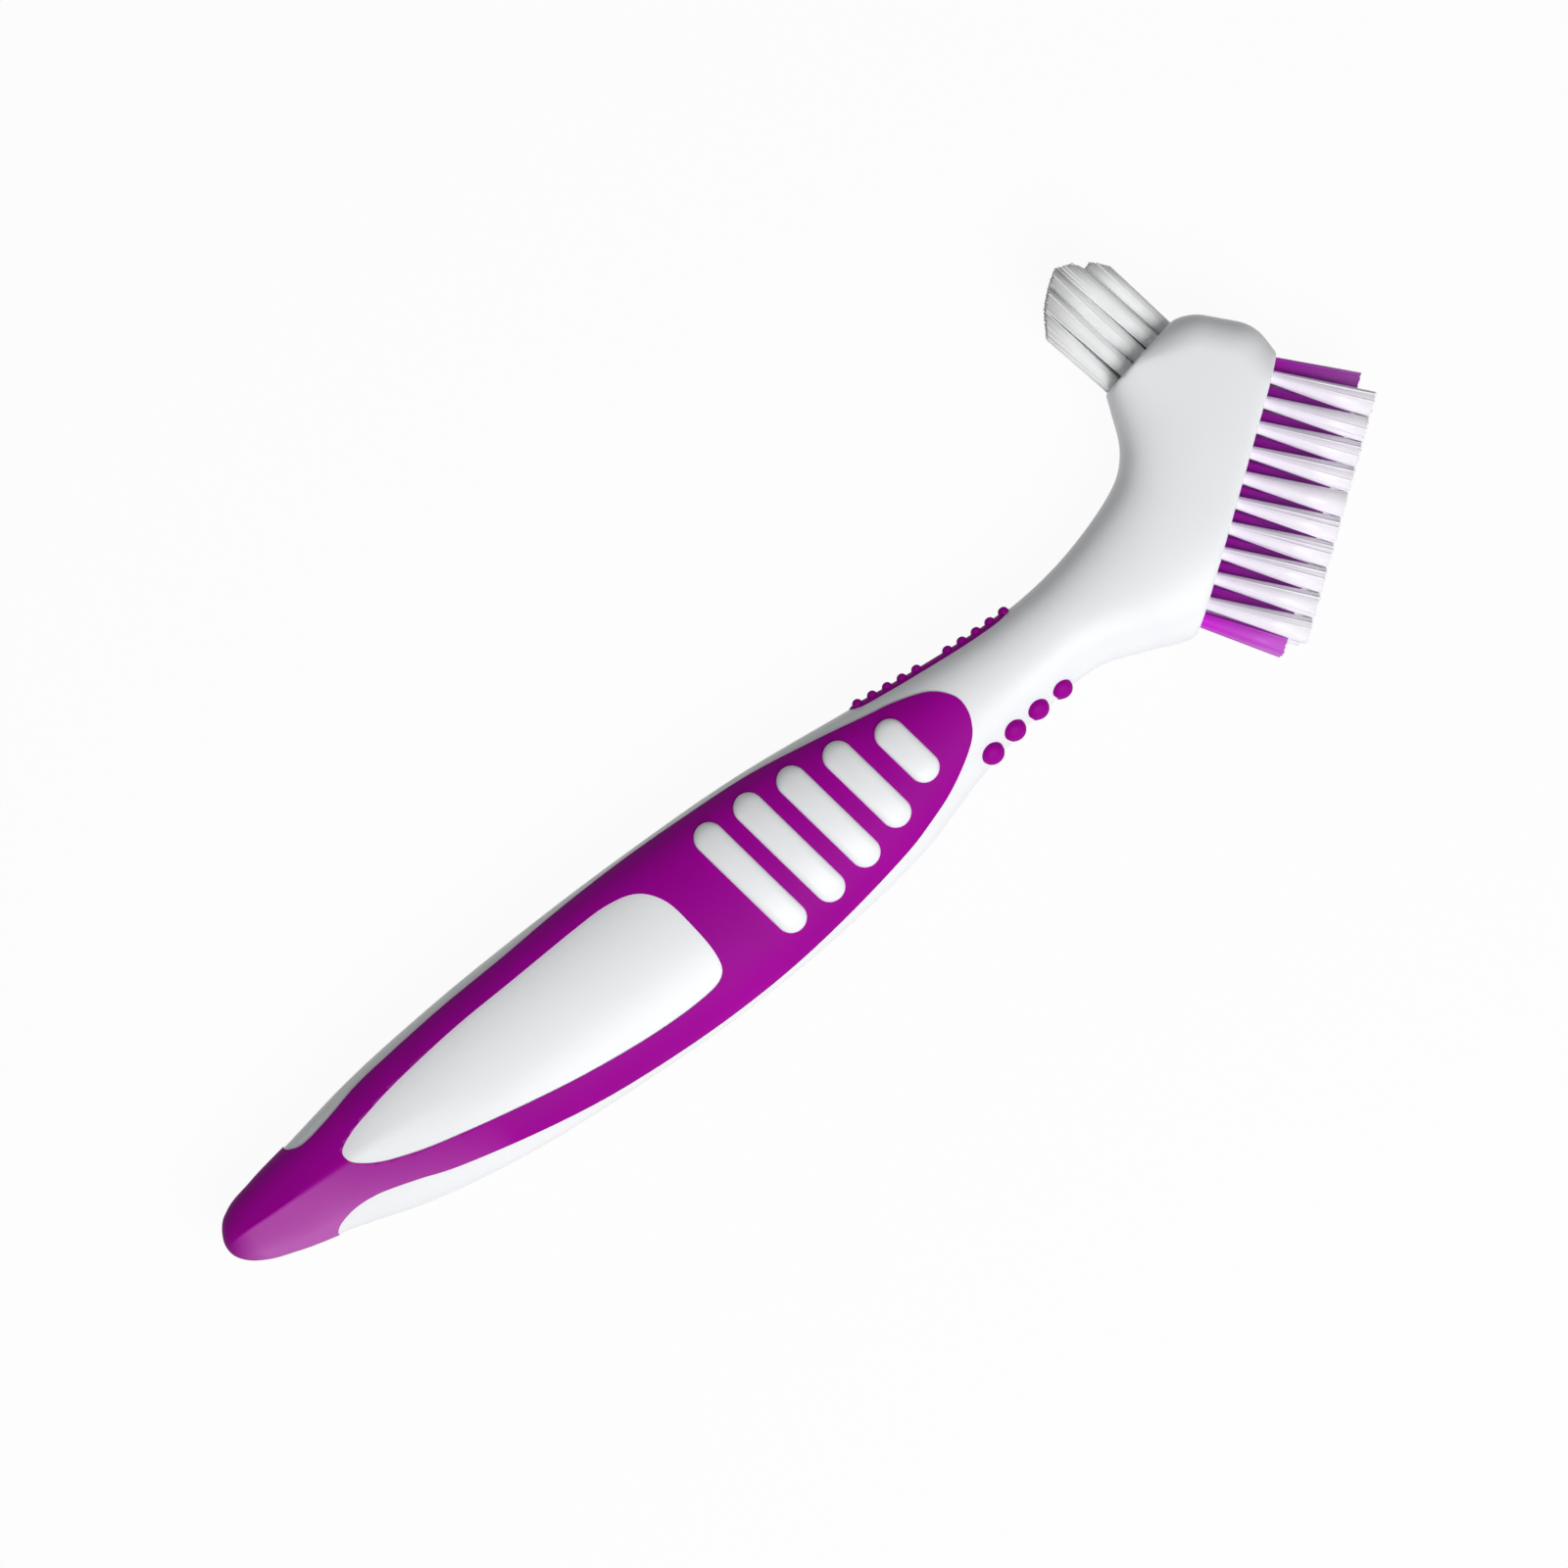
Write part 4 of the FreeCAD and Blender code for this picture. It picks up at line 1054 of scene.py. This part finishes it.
def face_placing(low, high, distance, side):
    """The place of a tuft line on a brush face: x along the face, z outward."""
    along = Vector((high[0] - low[0], high[1] - low[1], 0)).normalized()
    outward = Vector((along.y, -along.x, 0)) * side
    spot = place([Vector((low[0], low[1], 0)) + along * distance])[0]
    across = outward.cross(along)
    turn = Matrix((along, across, outward)).transposed().to_4x4()
    return Matrix.Translation(spot) @ turn


class DENTUREBRUSH_OT_large_brush(bpy.types.Operator):
    """Build the white and purple tufts of the large brush"""

    bl_idname = "denture_brush.large_brush"
    bl_label = "Large brush"

    def execute(self, context):
        tufts = context.scene.denture_brush.tufts
        white = filament_nylon("white_nylon", tufts.white_root, tufts.white_tip, shine=0.3)
        purple = filament_nylon("purple_nylon", tufts.purple_root, tufts.purple_tip, shine=0.1)
        groups = (
            ("white", WHITE_LINES, tufts.outer_row, tufts.white_length, tufts.white_spread,
             white),
            ("purple", PURPLE_LINES, tufts.inner_row, tufts.purple_length, tufts.purple_spread,
             purple),
        )
        for colour, count, row, length, spread, material in groups:
            for number in range(count):
                end = (number == count - 1) - (number == 0) if colour == "purple" else 0
                grow = tufts.end_growth if end else 1.0
                distance = (tufts.large_middle + (number - (count - 1) / 2) * tufts.large_pitch
                            + end * tufts.end_shift)
                form = TuftForm(tufts.root_radius * grow, spread * grow, end * tufts.end_lean,
                                [(0.0, length)], distance)
                piece = tuft_piece("%s_filaments_%02d" % (colour, number + 1), tufts,
                                   face_placing(LARGE_FACE_LOW, LARGE_FACE_HIGH, distance, 1),
                                   (-row, row), form, tufts.seed * LARGE_SEEDS + number + count)
                finish_piece(piece, material, colour + "_filament",
                             "%s_tufts_line_%02d" % (colour, number + 1))
        return {"FINISHED"}


class DENTUREBRUSH_OT_small_brush(bpy.types.Operator):
    """Build the domed tufts of the small brush"""

    bl_idname = "denture_brush.small_brush"
    bl_label = "Small brush"

    def execute(self, context):
        tufts = context.scene.denture_brush.tufts
        material = filament_nylon("small_white_nylon", tufts.small_white, tufts.small_white,
                                  shine=0.3)
        for number, rows in enumerate(SMALL_COLUMNS):
            distance = (tufts.small_middle
                        + (number - (len(SMALL_COLUMNS) - 1) / 2) * tufts.small_pitch)
            form = TuftForm(tufts.small_root, tufts.small_spread, 0.0, SMALL_DOME, distance)
            piece = tuft_piece("small_filaments_%d" % (number + 1), tufts,
                               face_placing(SMALL_FACE_LEFT, SMALL_FACE_RIGHT, distance, -1),
                               [row * tufts.small_row for row in rows], form,
                               tufts.seed * SMALL_SEEDS + number)
            finish_piece(piece, material, "white_filament",
                         "small_tufts_line_%d" % (number + 1))
        return {"FINISHED"}


class DENTUREBRUSH_OT_anchors(bpy.types.Operator):
    """Give the metal anchors in the tuft sockets their finish"""

    bl_idname = "denture_brush.anchors"
    bl_label = "Tuft anchors"

    def execute(self, context):
        metal = rolled_metal("rolled_nickel_silver")
        for name in ("white_tuft_anchors", "purple_tuft_anchors", "small_tuft_anchors"):
            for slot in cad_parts[name].material_slots:
                slot.material = metal
        return {"FINISHED"}


class DENTUREBRUSH_OT_stage(bpy.types.Operator):
    """Build the pale floor, the soft studio light and the camera"""

    bl_idname = "denture_brush.stage"
    bl_label = "Stage"

    def execute(self, context):
        stage = context.scene.denture_brush.stage
        self.floor(stage)
        self.light(context, stage)
        self.camera(context, stage)
        context.scene.view_settings.view_transform = "Standard"
        return {"FINISHED"}

    @staticmethod
    def floor(stage):
        """A wide pale floor that keeps a soft shadow."""
        low = CAD_BOX[0].z
        corners = [(x * FLOOR_HALF, y * FLOOR_HALF, low)
                   for x, y in ((-1, -1), (1, -1), (1, 1), (-1, 1))]
        mesh = bpy.data.meshes.new("floor")
        mesh.from_pydata(corners, [], [(0, 1, 2, 3)])
        floor = link_object("floor", mesh)
        material, tree, surface = new_material("pale_floor")
        set_inputs(surface, {"Base Color": (*stage.floor_colour, 1.0), "Roughness": 0.8})
        glow = add_node(tree, "Emission", {"Color": WHITE}, "Emission")
        shown = mix_by_sight(tree, stage.floor_glow, surface.outputs["BSDF"], glow)
        set_inputs(tree.nodes["Material Output"], {"Surface": shown})
        mesh.materials.append(material)

    @staticmethod
    def light(context, stage):
        """A broad key light over the brush side and an even white surround."""
        lamp = bpy.data.lights.new("key_light", "AREA")
        lamp.energy = stage.key_power
        lamp.size = KEY_SIZE
        key = link_object("key_light", lamp)
        key.location = KEY_PLACE
        key.rotation_euler = (-key.location).to_track_quat("-Z", "Y").to_euler()
        world = bpy.data.worlds.new("studio")
        world.use_nodes = True
        tree = world.node_tree
        fill = tree.nodes["Background"]
        set_inputs(fill, {"Color": WHITE, "Strength": stage.fill_level})
        backdrop = add_node(tree, "Background", {"Color": WHITE,
                                                 "Strength": stage.backdrop_level}, "Background")
        shown = mix_by_sight(tree, 1.0, fill.outputs["Background"], backdrop)
        set_inputs(tree.nodes["World Output"], {"Surface": shown})
        context.scene.world = world

    @staticmethod
    def camera(context, stage):
        """Straight over the broad side, the handle rising to the upper right."""
        eye = bpy.data.cameras.new("camera")
        eye.lens = stage.lens
        eye.clip_start = 0.01
        camera = link_object("camera", eye)
        rise = stage.view_width / 2 / (eye.sensor_width / 2 / stage.lens)
        middle = place([(stage.view_along, stage.view_across, 0.0)])[0]
        camera.location = middle + Vector((0, 0, rise))
        camera.rotation_euler = (0.0, 0.0, -stage.turn)
        context.scene.camera = camera


class DENTUREBRUSH_PT_panel(bpy.types.Panel):
    """Settings and steps of the denture brush"""

    bl_idname = "DENTUREBRUSH_PT_panel"
    bl_label = "Denture Brush"
    bl_space_type = "VIEW_3D"
    bl_region_type = "UI"
    bl_category = "Denture Brush"

    def draw(self, context):
        settings = context.scene.denture_brush
        for name in ("handle", "grip", "tufts", "stage"):
            box = self.layout.box()
            box.label(text=name.capitalize())
            group = getattr(settings, name)
            for key in group.__annotations__:
                box.prop(group, key)
        for step in STEPS:
            self.layout.operator(step.bl_idname)


STEPS = (
    DENTUREBRUSH_OT_handle,
    DENTUREBRUSH_OT_grip,
    DENTUREBRUSH_OT_ribs,
    DENTUREBRUSH_OT_thumb_pad,
    DENTUREBRUSH_OT_finger_dots,
    DENTUREBRUSH_OT_large_brush,
    DENTUREBRUSH_OT_small_brush,
    DENTUREBRUSH_OT_anchors,
    DENTUREBRUSH_OT_stage,
)
CLASSES = (HandleSettings, GripSettings, TuftSettings, StageSettings, DentureBrushSettings,
           *STEPS, DENTUREBRUSH_PT_panel)


def register():
    """Register every class and hang the settings on the scene."""
    for item in CLASSES:
        bpy.utils.register_class(item)
    bpy.types.Scene.denture_brush = PointerProperty(type=DentureBrushSettings)


def unregister():
    """Take the settings and every class away again."""
    del bpy.types.Scene.denture_brush
    for item in reversed(CLASSES):
        bpy.utils.unregister_class(item)


def main():
    """Build the whole brush and its stage."""
    register()
    bpy.ops.denture_brush.handle()
    bpy.ops.denture_brush.grip()
    bpy.ops.denture_brush.ribs()
    bpy.ops.denture_brush.thumb_pad()
    bpy.ops.denture_brush.finger_dots()
    bpy.ops.denture_brush.large_brush()
    bpy.ops.denture_brush.small_brush()
    bpy.ops.denture_brush.anchors()
    bpy.ops.denture_brush.stage()


if __name__ == "__main__":
    main()
